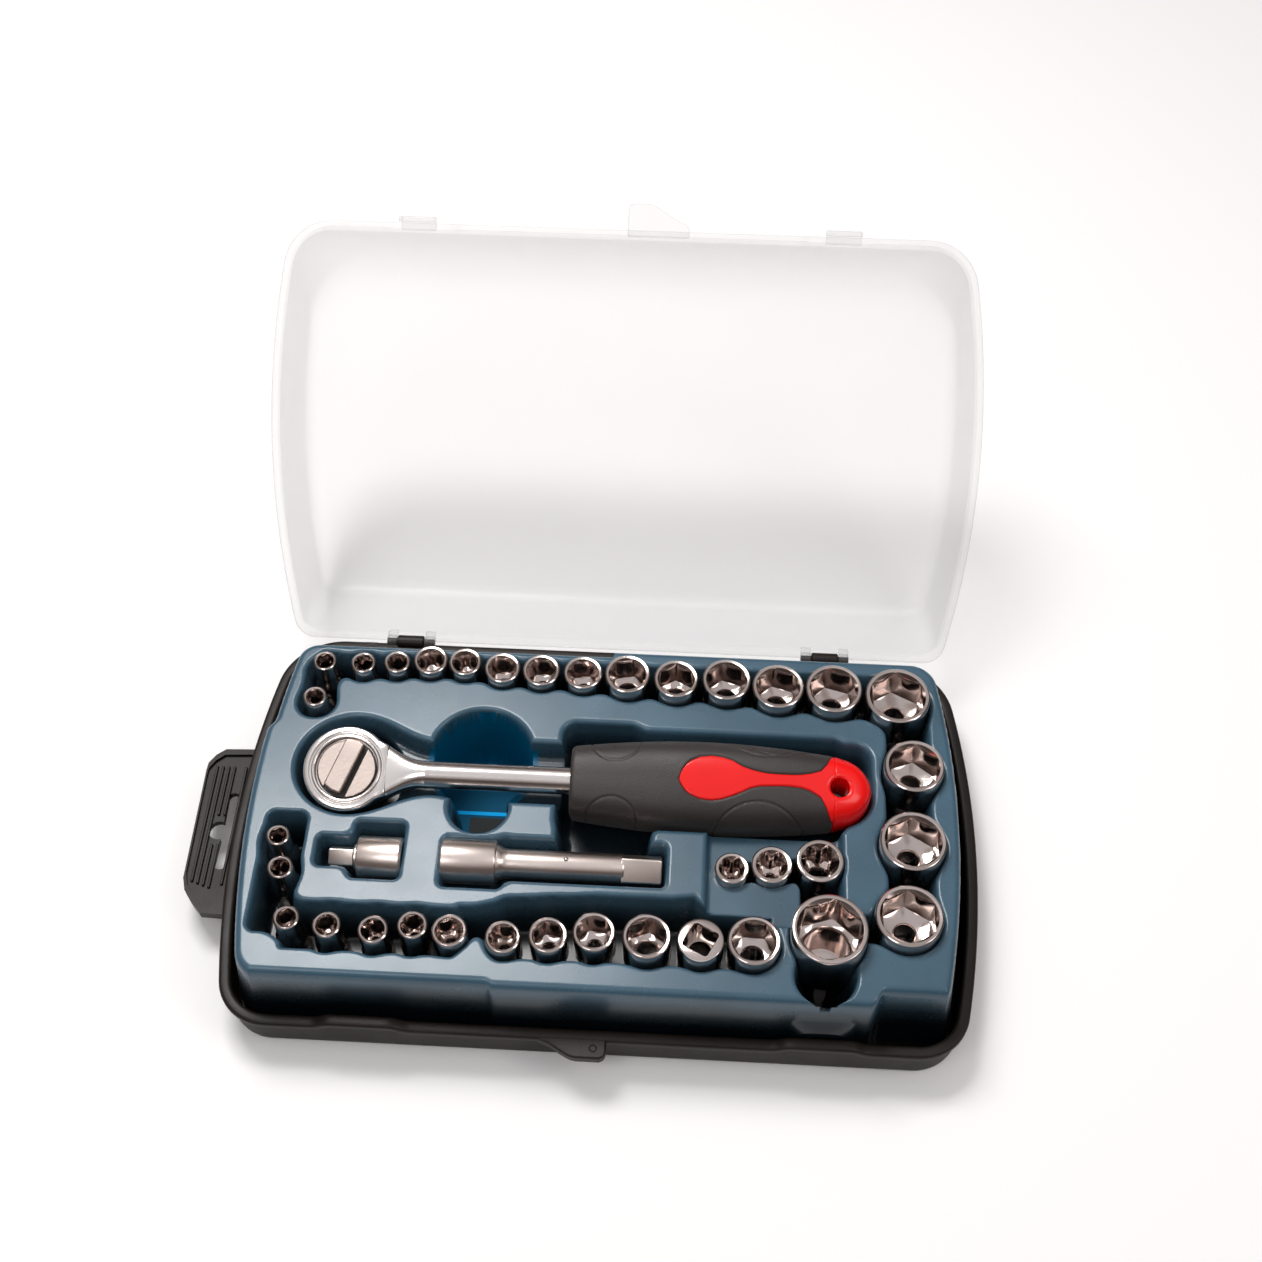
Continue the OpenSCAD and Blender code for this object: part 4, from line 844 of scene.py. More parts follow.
def lid_shape(t, skin):
    """Insets of the dome's walls at height t, with skin taken off the outside."""
    roof = LID_DEPTH - skin
    foot = RIM_OVER + skin

    def rounding(r):
        return r - math.sqrt(max(r**2 - max(t - roof + r, 0) ** 2, 0))

    side = foot + 0.045 * t + rounding(LID_EDGE_R)
    front = LID_FRONT_RUN - (LID_FRONT_RUN - foot) * math.sqrt(max(1 - min(t / roof, 1.0) ** 2.1, 0))
    back = foot + (LID_BACK_RUN - RIM_OVER) * t / LID_DEPTH + rounding(LID_REAR_R)
    r_front = LID_FRONT_R - 2 + 0.35 * min(t, 30.0)
    return side, front, back, max(r_front - skin, 3.0), max(LID_BACK_R - foot + 0.12 * t, 3.0)


def build_lid():
    """The clear dome: outside from the roof down, round the rim, and up the inside."""
    def heights(skin):
        roof = LID_DEPTH - skin
        low = np.linspace(0.0, roof - LID_EDGE_R, 16)
        high = roof - LID_EDGE_R + LID_EDGE_R * np.sin(np.linspace(0, math.pi / 2, 10))[1:]
        return np.concatenate([low, high])

    def shell_rings(skin):
        rings = []
        for t in heights(skin):
            side, front, back, rf, rb = lid_shape(t, skin)
            rings.append(lid_ring(t, side, front, back, rf, rb))
        last = rings[-1]
        mid = last.mean(0)
        for share in (0.9, 0.6, 0.25):
            inward = mid + (last - mid) * share
            inward[:, 2] = LID_DEPTH - skin
            rings.append(inward)
        return rings

    def rim_ring(inset, t, r_back):
        return lid_ring(t, inset, inset, inset, LID_FRONT_R - inset, r_back)

    outer, inner = shell_rings(0.0), shell_rings(LID_WALL)
    rim = [rim_ring(inset, t, LID_BACK_R) for inset, t in (
        (RIM_OVER - 0.1, LID_RIM_H + 0.3), (RIM_OVER - 0.5, LID_RIM_H), (0.4, LID_RIM_H),
        (0.0, LID_RIM_H - 0.4), (0.0, 0.4), (0.4, 0.0))]
    rim += [rim_ring(inset, 0.0, LID_BACK_R - 0.5 * inset) for inset in (2.6, 2.75, RIM_OVER + LID_WALL)]
    keep = [r for r, t in zip(outer, heights(0.0)) if t > LID_RIM_H + 0.5] + outer[-3:]
    dome = loft(keep[::-1] + rim + inner[1:])
    piece("lid_dome", [opened(dome)], CLEAR, "lid", ["lid_shell"], sharp=50)


def build_lid_parts():
    """Pull tab, snap clips and hinge ears of the lid."""
    front = -HINGE_Y - CASE_D / 2
    tab = np.array([(-1.0, front + 2.6), (-1.0, front - 8.3), (-0.2, front - 9.9), (1.6, front - 10.4),
                    (7.4, front - 10.4), (10.0, front - 9.6), (17.0, front - 5.2), (22.0, front - 2.9),
                    (23.5, front - 1.2), (23.5, front + 2.6)])
    ear_w = 4.0

    def lid_part(name, parts, sharp, width, angle=30.0):
        lid_piece = piece(name, [opened(p) for p in parts], CLEAR, "lid", sharp=sharp)
        bevel(lid_piece, width, 2, angle)

    lid_part("lid_pull_tab", [prism(tab, 0.2, 4.3)], 30, 0.6)
    for side, name in ((-1, "left"), (1, "right")):
        x = side * 84.5
        clip = [box_part((x - 7, front - 2.5, -4.0), (x + 7, front - 0.3, 4.0)),
                box_part((x - 7, front - 2.5, 2.5), (x + 7, front + 3.0, 4.0))]
        lid_part("lid_clip_" + name, clip, 30, 0.5)
        for k, off in enumerate((-9.9, 5.9)):  # the ears stand on both sides of the knuckle
            ear = side * KNUCKLE_X + off
            barrel = lathe([(1.56, 0), (KNUCKLE_R, 0), (KNUCKLE_R, ear_w), (1.56, ear_w)], 36)
            web = box_part((ear, -4.0, 0.2), (ear + ear_w, 2.2, 4.6))
            lid_part(f"lid_ear_{name}_{k + 1}", [shifted(along_x(barrel), ear), web], 40, 0.3, 50)


build_lid()
build_lid_parts()

# ---- sockets ----

HEX_SIDES = 16  # points along each side of the hexagon, so that a socket has 96 in all
RING_N = 6 * HEX_SIDES


def hex_radius(af, turn=0.0):
    a = np.arange(RING_N) * 2 * math.pi / RING_N + math.radians(turn)
    folded = np.mod(a + math.pi / 6, math.pi / 3) - math.pi / 6
    return af / 2 / np.cos(folded)


def star_radius(af):
    a = np.arange(RING_N) * 2 * math.pi / RING_N
    return af * (0.47 + 0.075 * np.cos(6 * a) + 0.01 * np.cos(12 * a))


def square_radius(size, turn=0.0):
    a = np.arange(RING_N) * 2 * math.pi / RING_N + math.radians(turn)
    folded = np.mod(a + math.pi / 4, math.pi / 2) - math.pi / 4
    return np.minimum(size / 2 / np.cos(folded), size * 0.66)


SOCKET_AF = {  # the hexagon of each socket, or the star's size, across its flats
    "socket_back_": [6, 6.5, 7, 9.5, 9, 10, 10.5, 11, 13, 12.7, 14, 15, 16.5, 19],
    "socket_front_": [6.3, 7, 7.5, 7.5, 9, 9, 10, 11, 12.7, 12, 14],
    "socket_left_": [6, 5.6, 6.2],
    "socket_right_": [17, 18.5, 18.5],
    "socket_star_": [9, 11, 13],
}
PLUG_AF, PLUG_BASE, PLUG_TURN = 20.8, 21.0, 12.0
UPSIDE_DOWN = "socket_front_10"
QUARTER_INCH, THREE_EIGHTHS = 6.35, 9.53  # the driving squares


def socket_part(af, length, kind, turn):
    """A turned socket standing at z = 0: rounded lips, chamfered recess, bore and drive."""
    small = af < 11.6
    nose = 1.25 * af + 1.8
    base = PLUG_BASE if kind == "plug" else 12.0 if small else 17.0
    drive = QUARTER_INCH if small else THREE_EIGHTHS
    neck = 0.45 if kind == "plug" else 0.5 if nose < base else 0.32
    lip, step = 0.55, 2.6
    zb = length * neck
    outer = [
        (base / 2 - 1.0, 0.0), (base / 2 - 0.35, 0.25), (base / 2, 0.9), (base / 2, zb - 0.5),
        (base / 2 + (nose - base) * 0.06, zb), (nose / 2 - (nose - base) * 0.06, zb + step),
        (nose / 2, zb + step + 0.5), (nose / 2, length - lip * 1.6),
        (nose / 2 - lip * 0.3, length - lip * 0.6), (nose / 2 - lip * 0.9, length - 0.08),
        (nose / 2 - lip * 1.2, length),
    ]
    if kind == "star":
        shape, entry = star_radius(af), max(af * 0.56, af / 2 + 0.25)
    else:
        shape = hex_radius(af, turn)
        entry = min(nose / 2 - lip * 1.25, af / 2 / math.cos(math.pi / 6) + 0.15)
    floor = length - (16.0 if kind == "plug" else 0.35 * af + 8.0)
    bore = base / 2 - 2.2 if kind == "plug" else min(af * 0.36, drive * 0.42)
    shelf = drive * 1.12
    square = square_radius(drive + 0.2, turn)
    steps = (0.12, 0.3, 0.55, 0.9, 1.3, 1.8, 2.4)
    recess = [(np.maximum(shape, entry - dz * 0.75), length - dz) for dz in steps]
    inner = [
        (shape, floor + (length - floor) * 0.4), (shape, floor),
        (np.minimum(shape * 0.93, af * 0.45), floor - 0.5), (bore + 0.5, floor - 0.9),
        (bore, floor - 1.5), (bore, shelf + 0.8), (np.minimum(square, drive * 0.45), shelf + 0.05),
        (square, shelf), (square, 0.5), (square + 0.35, 0.0),
    ]
    return loft([ring(r, z, RING_N) for r, z in outer + recess + inner], wrap=True)


def stand_socket(node, af, kind, turn):
    """Puts a socket on its node's foot; one of the set stands upside down."""
    low, high = node_box(node)
    cx, cy, _ = (low + high) / 2
    height = high[2] - low[2]
    part = socket_part(af, height, kind, turn)
    if node == UPSIDE_DOWN:
        part = shifted(turned(part, 180, "X"), z=height)
    part = shifted(part, cx, cy, low[2])
    piece("chrome_" + node, [part], CHROME, node, [node], sharp=32)


def build_sockets():
    for prefix, sizes in SOCKET_AF.items():
        kind = "star" if prefix == "socket_star_" else "hex"
        for i, af in enumerate(sizes):
            stand_socket(f"{prefix}{i + 1}", af, kind, RNG.uniform(-30, 30))
    stand_socket(PLUG, PLUG_AF, "plug", PLUG_TURN)


build_sockets()

# ---- ratchet wrench: drawn along +X from the middle of its head, then rolled into its place ----

WRENCH_ROLL = math.atan2(-DIAL_AXIS[1], DIAL_AXIS[2])
WRENCH_PLACE = Matrix.Translation(WRENCH_AXIS) @ Matrix.Rotation(WRENCH_ROLL, 4, "X")
HEAD_R, HEAD_UNDER, HEAD_TOP = 16.8, -12.0, 5.0
RECESS_R, GROOVE_R, GROOVE_Z = 13.6, 14.25, 4.0
WEB_END, WEB_ANGLE = 16.0, 31.7  # where the head's flat web goes over into the neck
SHAFT_R, SHAFT_FROM, SHAFT_L = 5.3, 29.5, 100.0
GEAR_R, BORE_R, WELL_FLOOR = 11.6, 6.75, -9.6  # the well of the drive gear, and the hole of its square
TURN_N = 96


def wrench_piece(name, parts, mat, body, replaces=(), sharp=35.0):
    return piece(name, [moved(p, WRENCH_PLACE) for p in parts], mat, body, replaces, sharp)


def hollow_lathe(profile):
    """A turned ring whose profile is closed on itself; a radius may change with the angle."""
    return loft([ring(r, z, TURN_N) for r, z in profile], wrap=True)


def web_reach():
    """Outer radius of the head's upper half at each angle, with the web towards the neck."""
    a = (np.arange(TURN_N) * 360.0 / TURN_N + 180.0) % 360.0 - 180.0
    bulge = np.interp(np.abs(a), (WEB_ANGLE, 36.8, 41.0, 45.0), (18.8, 17.8, 17.15, HEAD_R))
    return np.where(np.abs(a) < WEB_ANGLE, WEB_END / np.cos(np.radians(a)), bulge)


def superellipse(a, w, h, power):
    """Points (across, up) at angles a of a rounded rectangle w and h from its middle."""
    c, s = np.cos(a), np.sin(a)
    return w * np.sign(c) * np.abs(c) ** (2 / power), h * np.sign(s) * np.abs(s) ** (2 / power)


def build_ratchet():
    """Head, neck and shaft of the wrench, and the ring that keeps its dial."""
    low = [(BORE_R, HEAD_UNDER), (HEAD_R - 2.2, HEAD_UNDER), (HEAD_R - 0.9, HEAD_UNDER + 0.5),
           (HEAD_R - 0.2, HEAD_UNDER + 1.6), (HEAD_R, HEAD_UNDER + 3.0), (HEAD_R, -5.3)]
    edge = ((0.3, -5.0), (0.0, -4.4), (0.0, 2.4), (0.1, 3.4), (0.3, 4.2), (0.65, 4.8), (1.0, HEAD_TOP))
    high = [(web_reach() - d, z) for d, z in edge]
    inner = [(GROOVE_R + 0.15, HEAD_TOP), (GROOVE_R, HEAD_TOP - 0.15), (GROOVE_R, GROOVE_Z),
             (RECESS_R, GROOVE_Z), (RECESS_R, 2.4), (GEAR_R, 2.3), (GEAR_R, WELL_FLOOR),
             (BORE_R, WELL_FLOOR)]
    # neck: sections (place, half width, half height, power) blend from the flat web to the round shaft
    n = 48
    neck = []
    for x, w, h, p in (
            (WEB_END - 0.9, 10.1, 4.85, 5.0), (WEB_END, 9.9, 4.85, 4.5), (18.0, 8.75, 4.85, 4.0),
            (20.0, 7.7, 4.85, 3.5), (22.0, 6.75, 4.87, 3.0), (24.0, 5.95, 4.88, 2.6),
            (26.0, 5.5, 5.0, 2.3), (28.0, 5.3, 5.2, 2.1), (30.0, 5.35, 5.35, 2.0)):
        across, up = superellipse(np.arange(n) * 2 * math.pi / n, w, h, p)
        neck.append(np.column_stack((np.full(n, x), across, up)))
    collar_r = SHAFT_R + 0.1
    shaft = lathe([(HUB, 0), (collar_r - 0.05, 0), (collar_r, 0.4), (collar_r, 1.2), (SHAFT_R, 1.7),
                   (SHAFT_R, SHAFT_L), (HUB, SHAFT_L)], 64)
    parts = [hollow_lathe(low + high + inner), loft(neck), shifted(along_x(shaft), x=SHAFT_FROM)]
    wrench_piece("wrench_steel", parts, WRENCH, "ratchet", ["ratchet_body"])
    snap = hollow_lathe([(11.95, 2.65), (13.45, 2.65), (13.5, 2.8), (13.5, 4.3), (13.4, 4.6),
                         (13.15, 4.8), (12.75, 4.88), (12.35, 4.8), (12.1, 4.6), (11.95, 4.3)])
    wrench_piece("snap_ring", [snap], WRENCH, "ratchet", ["retaining_ring"], 40)


DIAL_TILT, DIAL_R, BAR_LEFT, BAR_RIGHT, GROOVE_W = 20.6, 11.35, -4.7, 2.6, 1.6
DIAL_LOW, PLATE_LOW, PLATE_TOP, BAR_TOP = 2.6, 2.8, 3.9, 6.6


def chord_plate(x0, x1, r, low, high, n=16):
    """The part of a disc between two chords x0 and x1, raised from low to high."""
    a0, a1 = (math.degrees(math.asin(max(-1.0, min(1.0, x / r)))) for x in (x0, x1))
    turns = np.radians(np.linspace(a0, a1, n))
    far = np.column_stack((r * np.sin(turns), r * np.cos(turns)))
    return prism(np.concatenate([far[::-1], far * (1, -1)]), low, high)


def build_dial():
    """The reversing dial: a dark disc that paints the shade in the gaps and the groove, two plates and
    the bar to turn it by.
    """
    place = Matrix.Rotation(-math.radians(DIAL_TILT), 4, "Z")
    disc_top = DIAL_LOW + 0.3
    disc = lathe([(HUB, DIAL_LOW), (DIAL_R, DIAL_LOW), (DIAL_R, disc_top), (HUB, disc_top)], 96)
    wrench_piece("dial_shade_disc", [moved(disc, place)], PAINTED_GAP_SHADE, "dial", ["reverse_dial"])

    def raised(name, parts, width, segments):
        parts = [moved(p, place) for p in parts]
        bevel(wrench_piece(name, parts, SATIN, "dial", sharp=30), width, segments)

    far, near, side = DIAL_R - 0.3, DIAL_R - 1.2, DIAL_R - 0.35
    spans = ((-side, BAR_LEFT - 0.25), (BAR_RIGHT + GROOVE_W, side))
    raised("dial_plates", [chord_plate(x0, x1, far, PLATE_LOW, PLATE_TOP) for x0, x1 in spans], 0.25, 2)
    xs = np.linspace(BAR_LEFT, BAR_RIGHT, 14)
    near_edge = np.column_stack((xs, -np.sqrt(near**2 - xs**2)))
    far_edge = np.column_stack((xs, np.sqrt(far**2 - xs**2)))
    raised("dial_bar", [prism(np.concatenate([near_edge, far_edge[::-1]]), PLATE_LOW, BAR_TOP)], 0.9, 4)


build_ratchet()
build_dial()
paint(CHROME, "drive_gear")

# ---- grip: places on it are bx from its left end and v across, towards the far side ----

GRIP_X0 = node_box("grip_rubber")[0][0] - HEAD_X
GRIP_L, GRIP_DROP, GRIP_POWER = 114.0, -3.0, 2.9
CAP_START = 99.5  # the end cap is red all round from here
HANG_X, HANG_R, HOLE_LIP = 101.7, 3.7, 0.9
RED_EDGE = np.array([  # bx, far edge, near edge of the red inlay
    (41.1, 0.3, 0.3), (41.6, 2.4, -1.5), (42.5, 4.3, -2.9), (43.8, 6.2, -4.6), (45.5, 7.7, -5.9),
    (49.0, 9.5, -7.4), (53.5, 10.1, -7.9), (57.0, 9.7, -7.3), (61.0, 8.5, -5.9), (64.8, 6.2, -4.1),
    (68.0, 5.1, -2.4), (71.4, 4.3, -1.4), (74.8, 3.8, -1.2), (79.0, 3.7, -0.9), (82.9, 3.8, -0.9),
    (86.9, 4.0, -1.2), (90.6, 4.7, -2.2), (94.5, 6.1, -4.6), (96.8, 9.0, -8.6), (98.0, 11.6, -11.4),
    (98.8, 12.8, -12.8)])
RED_START = RED_EDGE[0, 0]
PART_W, PART_DEPTH = 0.34, 0.5  # the parting groove round the red
LINE_W, LINE_DEPTH = 0.34, 0.42  # the fine lines in the rubber


def grip_half(u):
    """Half width and half height of the grip at share u of its length."""
    body = 13.6 + 3.9 * np.sin(np.pi * np.clip(u / 0.9, 0, 1)) ** 0.9
    height = 12.6 + 1.9 * np.sin(np.pi * np.clip(u / 0.92, 0, 1)) ** 0.8
    tip = np.clip((u - 0.86) / 0.14, 0, 1)
    close = np.sqrt(np.clip(1 - tip**2.3, 0, 1))
    start = np.clip(u / 0.018, 0, 1)
    open_ = 0.93 + 0.07 * np.sqrt(1 - (1 - start) ** 2)
    return body * close * open_, height * (0.45 + 0.55 * close) * open_


def section_curve(w, h, n=721):
    """A closed superellipse from the middle of the top towards the far side, with its arc length."""
    z, v = superellipse(np.linspace(0, 2 * math.pi, n), h, w, GRIP_POWER)
    s = np.concatenate([[0], np.cumsum(np.hypot(np.diff(v), np.diff(z)))])
    return s, v, z


def edge_of_top(s, v, w, across):
    """Arc length at which the top of a section reaches across; negative towards the near side."""
    quarter = len(s) // 4
    return math.copysign(np.interp(min(abs(across), 0.97 * w), v[:quarter], s[:quarter]), across)


def line_distance(bx, s):
    """Distance to the nearest of the fine lines on the rubber, at bx and arc length s."""
    arch_x, arch_s, arch_r, far_off = 16.0, -17.2, 9.5, 9.0
    near_arch = np.abs(np.where(s > arch_s, np.hypot(bx - arch_x, s - arch_s), abs(bx - arch_x)) - arch_r)
    near_arch = np.where(s < -27.0, far_off, near_arch)
    lines = [near_arch, np.abs(np.hypot(bx - 16.8, s - 16.0) - arch_r)]
    for x, across, r in ((71.5, -24.3, 17.0), (73.0, 28.0, 17.0), (79.0, 28.5, 17.0)):
        ring_gap = np.abs(np.hypot(bx - x, s - across) - r)
        lines.append(np.where(np.abs(s) < abs(across) + 4.0, ring_gap, far_off))
    return np.min(np.stack(lines), axis=0)


def grip_stations(step):
    """Places along the grip, which crowd up at both ends and where the red starts and the cap starts."""
    parting = PART_W * np.array((-2.2, -1.2, -0.5, 0.0, 0.5, 1.2, 2.2))
    start, end = RED_START + parting, CAP_START + parting
    return np.concatenate([
        np.linspace(0, 0.02 * GRIP_L, 8)[:-1], np.arange(0.02 * GRIP_L, start[0], step), start,
        np.arange(start[-1] + step, end[0], step), end, np.arange(end[-1] + step, 0.9 * GRIP_L, 2 * step),
        GRIP_L * (0.9 + 0.1 * np.sin(np.linspace(0, math.pi / 2, 24)))])


def build_grip():
    """Stations, rings of points and the number of red columns of the grip's grid."""
    coarse = 1.0
    bxs = grip_stations(0.26 * coarse)
    n_red, n_dark = int(34 / coarse), int(190 / coarse)
    offsets = PART_W * np.array([0.0, 0.5, 1.2, 2.2])
    edge = offsets[-1]
    rings = []
    for bx in bxs:
        w, h = grip_half(np.array(bx / GRIP_L))
        s, v, z = section_curve(max(float(w), 0.05), float(h))
        far, near = (np.interp(bx, RED_EDGE[:, 0], RED_EDGE[:, k]) for k in (1, 2))
        s_far, s_near = edge_of_top(s, v, w, far), edge_of_top(s, v, w, near)
        red_w, around = s_far - s_near, s[-1] - (s_far - s_near)
        s_round = s_far + around
        # columns crowd up on both sides of the parting line
        share = min(1.0, red_w / (4 * edge))
        red_cols = np.concatenate([
            s_near + offsets * share,
            np.linspace(s_near + edge * share, s_far - edge * share, n_red)[1:-1],
            s_far - offsets[::-1] * share])
        dark_cols = np.concatenate([
            s_far + offsets[1:], np.linspace(s_far + edge, s_round - edge, n_dark)[1:-1],
            s_round - offsets[:0:-1]])
        cols = np.concatenate([red_cols, dark_cols])
        signed = (cols + s[-1] / 2) % s[-1] - s[-1] / 2
        to_part = np.min([np.abs(cols - place) for place in (s_far, s_near, s_round)], axis=0)
        if bx < RED_START:
            to_part = np.hypot(to_part, RED_START - bx)
        if bx > CAP_START:
            to_part = np.full(len(cols), bx - CAP_START)
        is_dark = np.arange(len(cols)) >= len(red_cols)
        to_part = np.where(is_dark, np.minimum(to_part, abs(bx - CAP_START)), to_part)
        sink = PART_DEPTH * np.exp(-((to_part / PART_W) ** 2))
        rubber = is_dark & (to_part > 1.0) & (bx < CAP_START)
        sink = sink + rubber * LINE_DEPTH * np.exp(-((line_distance(bx, signed) / LINE_W) ** 2))
        vv, zz = np.interp(cols % s[-1], s, v), np.interp(cols % s[-1], s, z)
        hole = np.hypot(bx - HANG_X, vv)
        sink = sink + HOLE_LIP * np.exp(-np.maximum(hole - HANG_R, 0) / 0.45)
        size = np.maximum(np.hypot(vv, zz), 0.3)
        shrink = np.maximum(1 - sink / size, 0.2)
        rings.append(np.column_stack((np.full(len(cols), bx), vv * shrink, zz * shrink)))
    return bxs, np.array(rings), len(red_cols)


def build_grip_pieces():
    """Splits the grip's grid into rubber and red, with the hanging hole cut out of it."""
    bxs, grid, n_red = build_grip()
    rows, cols = grid.shape[:2]
    # the grid's points next to the hole move onto its edge, and the faces inside it go
    gap = np.hypot(grid[..., 0] - HANG_X, grid[..., 1]) - HANG_R
    snap = (gap < 0) & (gap > -0.85)
    away = np.stack((grid[..., 0] - HANG_X, grid[..., 1]), -1)
    away = away / np.maximum(np.linalg.norm(away, axis=-1, keepdims=True), 1e-6)
    grid[..., :2] = np.where(snap[..., None], grid[..., :2] - away * gap[..., None], grid[..., :2])
    inside = (gap < 0) & ~snap
    index = np.arange(rows * cols).reshape(rows, cols)
    verts = grid.reshape(-1, 3) + (GRIP_X0, 0, GRIP_DROP)
    sides = {"dark": [], "red": []}
    for i in range(rows - 1):
        cap = (bxs[i] + bxs[i + 1]) / 2 > CAP_START
        for k in range(cols):
            j = (k + 1) % cols
            if inside[i, k] or inside[i, j] or inside[i + 1, k] or inside[i + 1, j]:
                continue
            in_red = k < n_red - 1
            if in_red and bxs[i + 1] <= RED_START:
                continue
            face = (index[i, k], index[i + 1, k], index[i + 1, j], index[i, j])
            sides["red" if cap or in_red else "dark"].append(face)
    sides["dark"].append(tuple(index[0][::-1]))
    for key, name, mat, slot, node in (("dark", "grip_skin", RUBBER, "grip_dark", "grip_rubber"),
                                       ("red", "grip_inlay", RED, "grip_red", "grip_core")):
        used = np.unique(np.concatenate([np.array(f) for f in sides[key]]))
        new = -np.ones(len(verts), int)
        new[used] = np.arange(len(used))
        part = verts[used], [tuple(new[list(f)]) for f in sides[key]]
        piece(name, [moved(part, WRENCH_PLACE)], mat, "ratchet", [node], sharp=70, merge=0.002)
    mouth = ring(HANG_R, 0.0, 64)
    w, h = grip_half((mouth[:, 0] + HANG_X) / GRIP_L)
    mouth[:, 2] = h * (1 - (np.abs(mouth[:, 1]) / w) ** GRIP_POWER) ** (1 / GRIP_POWER) - HOLE_LIP
    tube = shifted(loft([mouth, mouth * (1, 1, -1)], capped=False), x=GRIP_X0 + HANG_X, z=GRIP_DROP)
    wrench_piece("grip_hole_wall", [tube], RED, "ratchet")


build_grip_pieces()

# ---- extension bar and adapter ----


def square_bar(size, length, chamfer=0.8, corner=0.9):
    """A drive square along +Z with rounded corners and a chamfered end."""
    half = size / 2

    def square(half_now, z):
        c = min(corner, half_now * 0.4)
        pts = []
        for qx, qy, a0 in ((1, 1, 0), (-1, 1, 90), (-1, -1, 180), (1, -1, 270)):
            pts.append(arc(qx * (half_now - c), qy * (half_now - c), c, a0, a0 + 90, 6))
        pts = np.concatenate(pts)
        return np.column_stack((pts, np.full(len(pts), z)))

    return loft([square(half, 0), square(half, length - chamfer),
                 square(half - chamfer * 0.3, length - 0.25), square(half - chamfer, length)])


def female_end(d, length, drive):
    """A turned socket end along +Z from z = 0, with a square hole in its foot."""
    square, r = square_radius(drive + 0.25), d / 2
    profile = [(square, 12.0), (square, 0.6), (square + 0.4, 0.1), (r - 1.3, 0.0), (r - 0.5, 0.15),
               (r, 0.8), (r, length - 0.7), (r - 0.3, length - 0.2), (r - 0.9, length), (HUB, length)]
    return loft([ring(r_now, z, RING_N) for r_now, z in profile])


BAR_TURN = 36.0  # the drive squares lie turned so that one flat looks up and forward


PIP_R, PIP_X, PIP_UP = 0.9, -12.0, 5.3  # the small ball that shows on the bar


def build_extension():
    """The extension bar: socket end, thin bar, driving square and its ball."""
    low, high = node_box("extension_bar")
    _, y, z = (low + high) / 2
    end_len, square_len, overlap = 21.0, 14.0, 1.0
    neck_len = high[0] - low[0] - square_len - end_len
    neck = lathe([(HUB, 0), (6.9, 0), (6.9, 0.5), (6.1, 1.9), (5.6, 3.0), (5.5, 4.5),
                  (5.5, neck_len - 0.8), (5.2, neck_len), (HUB, neck_len)], 64)
    square = turned(square_bar(THREE_EIGHTHS, square_len + overlap), BAR_TURN, "Z")
    parts = [
        shifted(along_x(female_end(high[2] - low[2], end_len, THREE_EIGHTHS)), low[0], y, z),
        shifted(along_x(neck), low[0] + end_len - 0.1, y, z),
        shifted(along_x(square), high[0] - square_len - overlap, y, z),
    ]
    piece("bar_steel", parts, BAR_SATIN, "extension", ["extension_bar"], sharp=32)
    turns = np.linspace(0.02, math.pi - 0.02, 14)
    pip = lathe([(PIP_R * math.sin(a), -PIP_R * math.cos(a)) for a in turns], 28)
    piece("bar_pip", [shifted(pip, PIP_X, y, z + PIP_UP)], BAR_SATIN, "extension")


def build_adapter():
    """The adapter, which points the other way: socket end, collar and small square."""
    low, high = node_box("drive_adapter")
    _, y, z = (low + high) / 2
    end_len = 16.8
    end = female_end(high[2] - low[2], end_len, THREE_EIGHTHS)
    collar = lathe([(HUB, 0), (5.2, 0), (5.2, 1.0), (4.6, 1.6), (HUB, 1.6)], 48)
    square = turned(square_bar(QUARTER_INCH, 10.2, 0.6, 0.6), -BAR_TURN, "Z")
    flip = Matrix.Translation((high[0], y, z)) @ Matrix.Rotation(math.radians(-90), 4, "Y")
    parts = [end, shifted(collar, z=end_len), shifted(square, z=end_len + 0.8)]
    parts = [moved(p, flip) for p in parts]
    piece("adapter_steel", parts, BAR_SATIN, "adapter", ["drive_adapter"], sharp=32)


build_extension()
build_adapter()

paint(STEEL, "drive_ball", "extension_ball", "adapter_ball", "selector_ball", "drive_ball_spring",
      "extension_ball_spring", "adapter_ball_spring", "selector_spring", "pawl")

# ---- floor, lights and camera ----


LIT_AT = Vector((0, 0, 0.02))  # where the lamps point, in metres
FLOOR_HALF, FLOOR_Z = 6.0, -0.0005  # in metres
FLOOR_LIFT = 0.07  # added to the floor's white where the camera sees it


def build_floor():
    corners = [(x * FLOOR_HALF, y * FLOOR_HALF, FLOOR_Z) for x, y in ((-1, -1), (1, -1), (1, 1), (-1, 1))]
    mesh = bpy.data.meshes.new("floor")
    mesh.from_pydata(corners, [], [(0, 1, 2, 3)])
    floor = bpy.data.objects.new("floor", mesh)
    bpy.context.scene.collection.objects.link(floor)
    mat, nodes, links, shader = principled("floor", {
        "Base Color": (0.97, 0.97, 0.97, 1), "Roughness": 0.9, "Emission Color": (1, 1, 1, 1)})
    rays = nodes.new("ShaderNodeLightPath")
    lift = nodes.new("ShaderNodeMath")
    lift.operation = "MULTIPLY"
    lift.inputs[1].default_value = FLOOR_LIFT
    links.new(rays.outputs["Is Camera Ray"], lift.inputs[0])
    links.new(lift.outputs["Value"], shader.inputs["Emission Strength"])
    mesh.materials.append(mat)


def area_light(name, place, size, power, colour):
    data = bpy.data.lights.new(name, "AREA")
    data.shape = "RECTANGLE"
    data.size, data.size_y = size
    data.energy = power
    data.color = colour
    obj = bpy.data.objects.new(name, data)
    obj.location = place
    obj.rotation_mode = "QUATERNION"
    obj.rotation_quaternion = (LIT_AT - Vector(place)).to_track_quat("-Z", "Y")
    bpy.context.scene.collection.objects.link(obj)


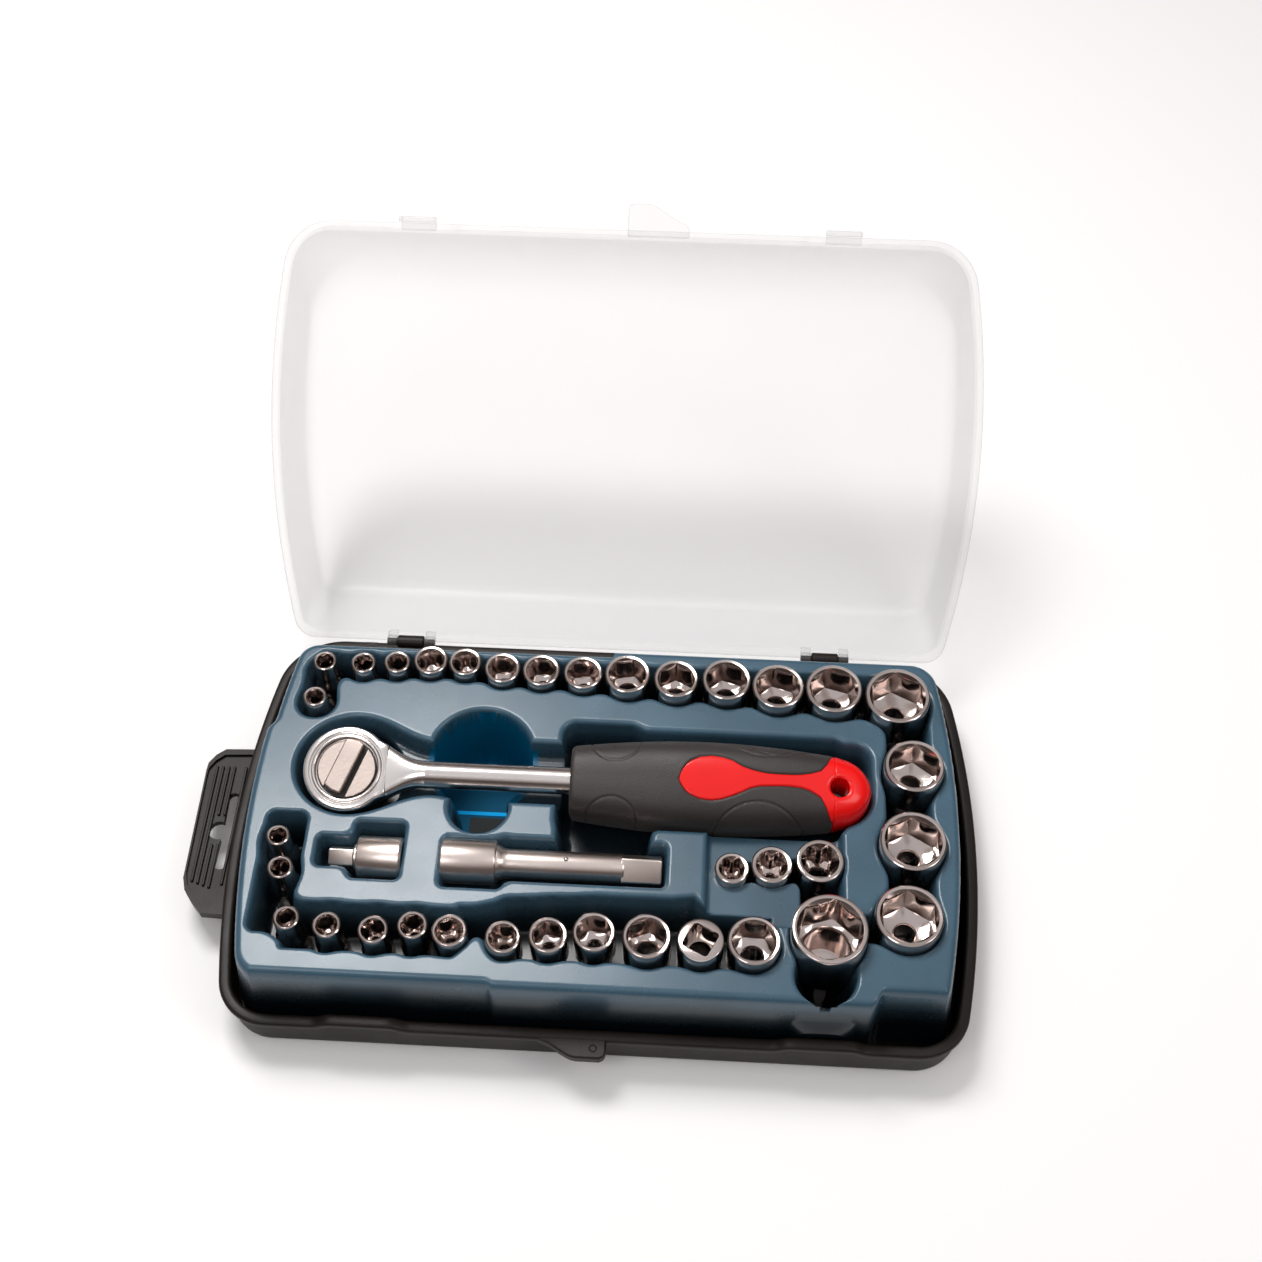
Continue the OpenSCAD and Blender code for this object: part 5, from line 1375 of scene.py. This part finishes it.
WORLD_STRENGTH = 0.7
WORLD_STOPS = ((0.0, (0.30, 0.27, 0.26)), (0.25, (0.10, 0.075, 0.066)), (0.52, (0.14, 0.105, 0.092)),
               (0.70, (0.62, 0.58, 0.57)), (1.0, (0.95, 0.95, 0.97)))
LIGHTS = (  # name, place and size in metres, power in watts, colour
    ("key", (-0.3, 0.45, 1.1), (0.45, 0.35), 8.6, (1.0, 0.985, 0.97)),
    ("fill", (0.75, -0.2, 0.9), (0.35, 0.5), 1.8, (1.0, 0.97, 0.95)),
    ("front", (-0.35, -0.5, 1.0), (0.4, 0.3), 1.4, (1.0, 1.0, 1.0)),
)


def build_world():
    world = bpy.data.worlds.new("studio")
    bpy.context.scene.world = world
    world.use_nodes = True
    nodes, links = world.node_tree.nodes, world.node_tree.links
    coord = nodes.new("ShaderNodeTexCoord")
    split = nodes.new("ShaderNodeSeparateXYZ")
    ramp = nodes.new("ShaderNodeValToRGB")
    links.new(coord.outputs["Generated"], split.inputs["Vector"])
    links.new(split.outputs["Z"], ramp.inputs["Fac"])
    links.new(ramp.outputs["Color"], nodes["Background"].inputs["Color"])
    set_stops(ramp, WORLD_STOPS)
    nodes["Background"].inputs["Strength"].default_value = WORLD_STRENGTH


CAMERA_AT = (30.71, -323.22, 605.44)
CAMERA_EL, CAMERA_AZ, CAMERA_ROLL = 54.272, 3.453, -0.355  # in degrees
FOCAL_PX, FRAME_PX, SENSOR = 1700.0, 1262.0, 36.0  # pixels of the photo's frame, and millimetres


def build_camera():
    """The camera that was fitted to the case's outline."""
    el, az, roll = (math.radians(v) for v in (CAMERA_EL, CAMERA_AZ, CAMERA_ROLL))
    back = Vector((math.sin(az) * math.cos(el), -math.cos(az) * math.cos(el), math.sin(el)))
    right = Vector((math.cos(az), math.sin(az), 0))
    up = back.cross(right)
    r2 = right * math.cos(roll) + up * math.sin(roll)
    u2 = -right * math.sin(roll) + up * math.cos(roll)
    data = bpy.data.cameras.new("camera")
    data.sensor_width = SENSOR
    data.lens = FOCAL_PX * SENSOR / FRAME_PX
    data.clip_start, data.clip_end = 0.01, 50
    cam = bpy.data.objects.new("camera", data)
    cam.matrix_world = Matrix((
        (r2.x, u2.x, back.x, CAMERA_AT[0] * MM), (r2.y, u2.y, back.y, CAMERA_AT[1] * MM),
        (r2.z, u2.z, back.z, CAMERA_AT[2] * MM), (0, 0, 0, 1)))
    bpy.context.scene.collection.objects.link(cam)
    bpy.context.scene.camera = cam


build_floor()
build_world()
for light in LIGHTS:
    area_light(*light)
build_camera()
bpy.context.scene.view_settings.view_transform = "Standard"
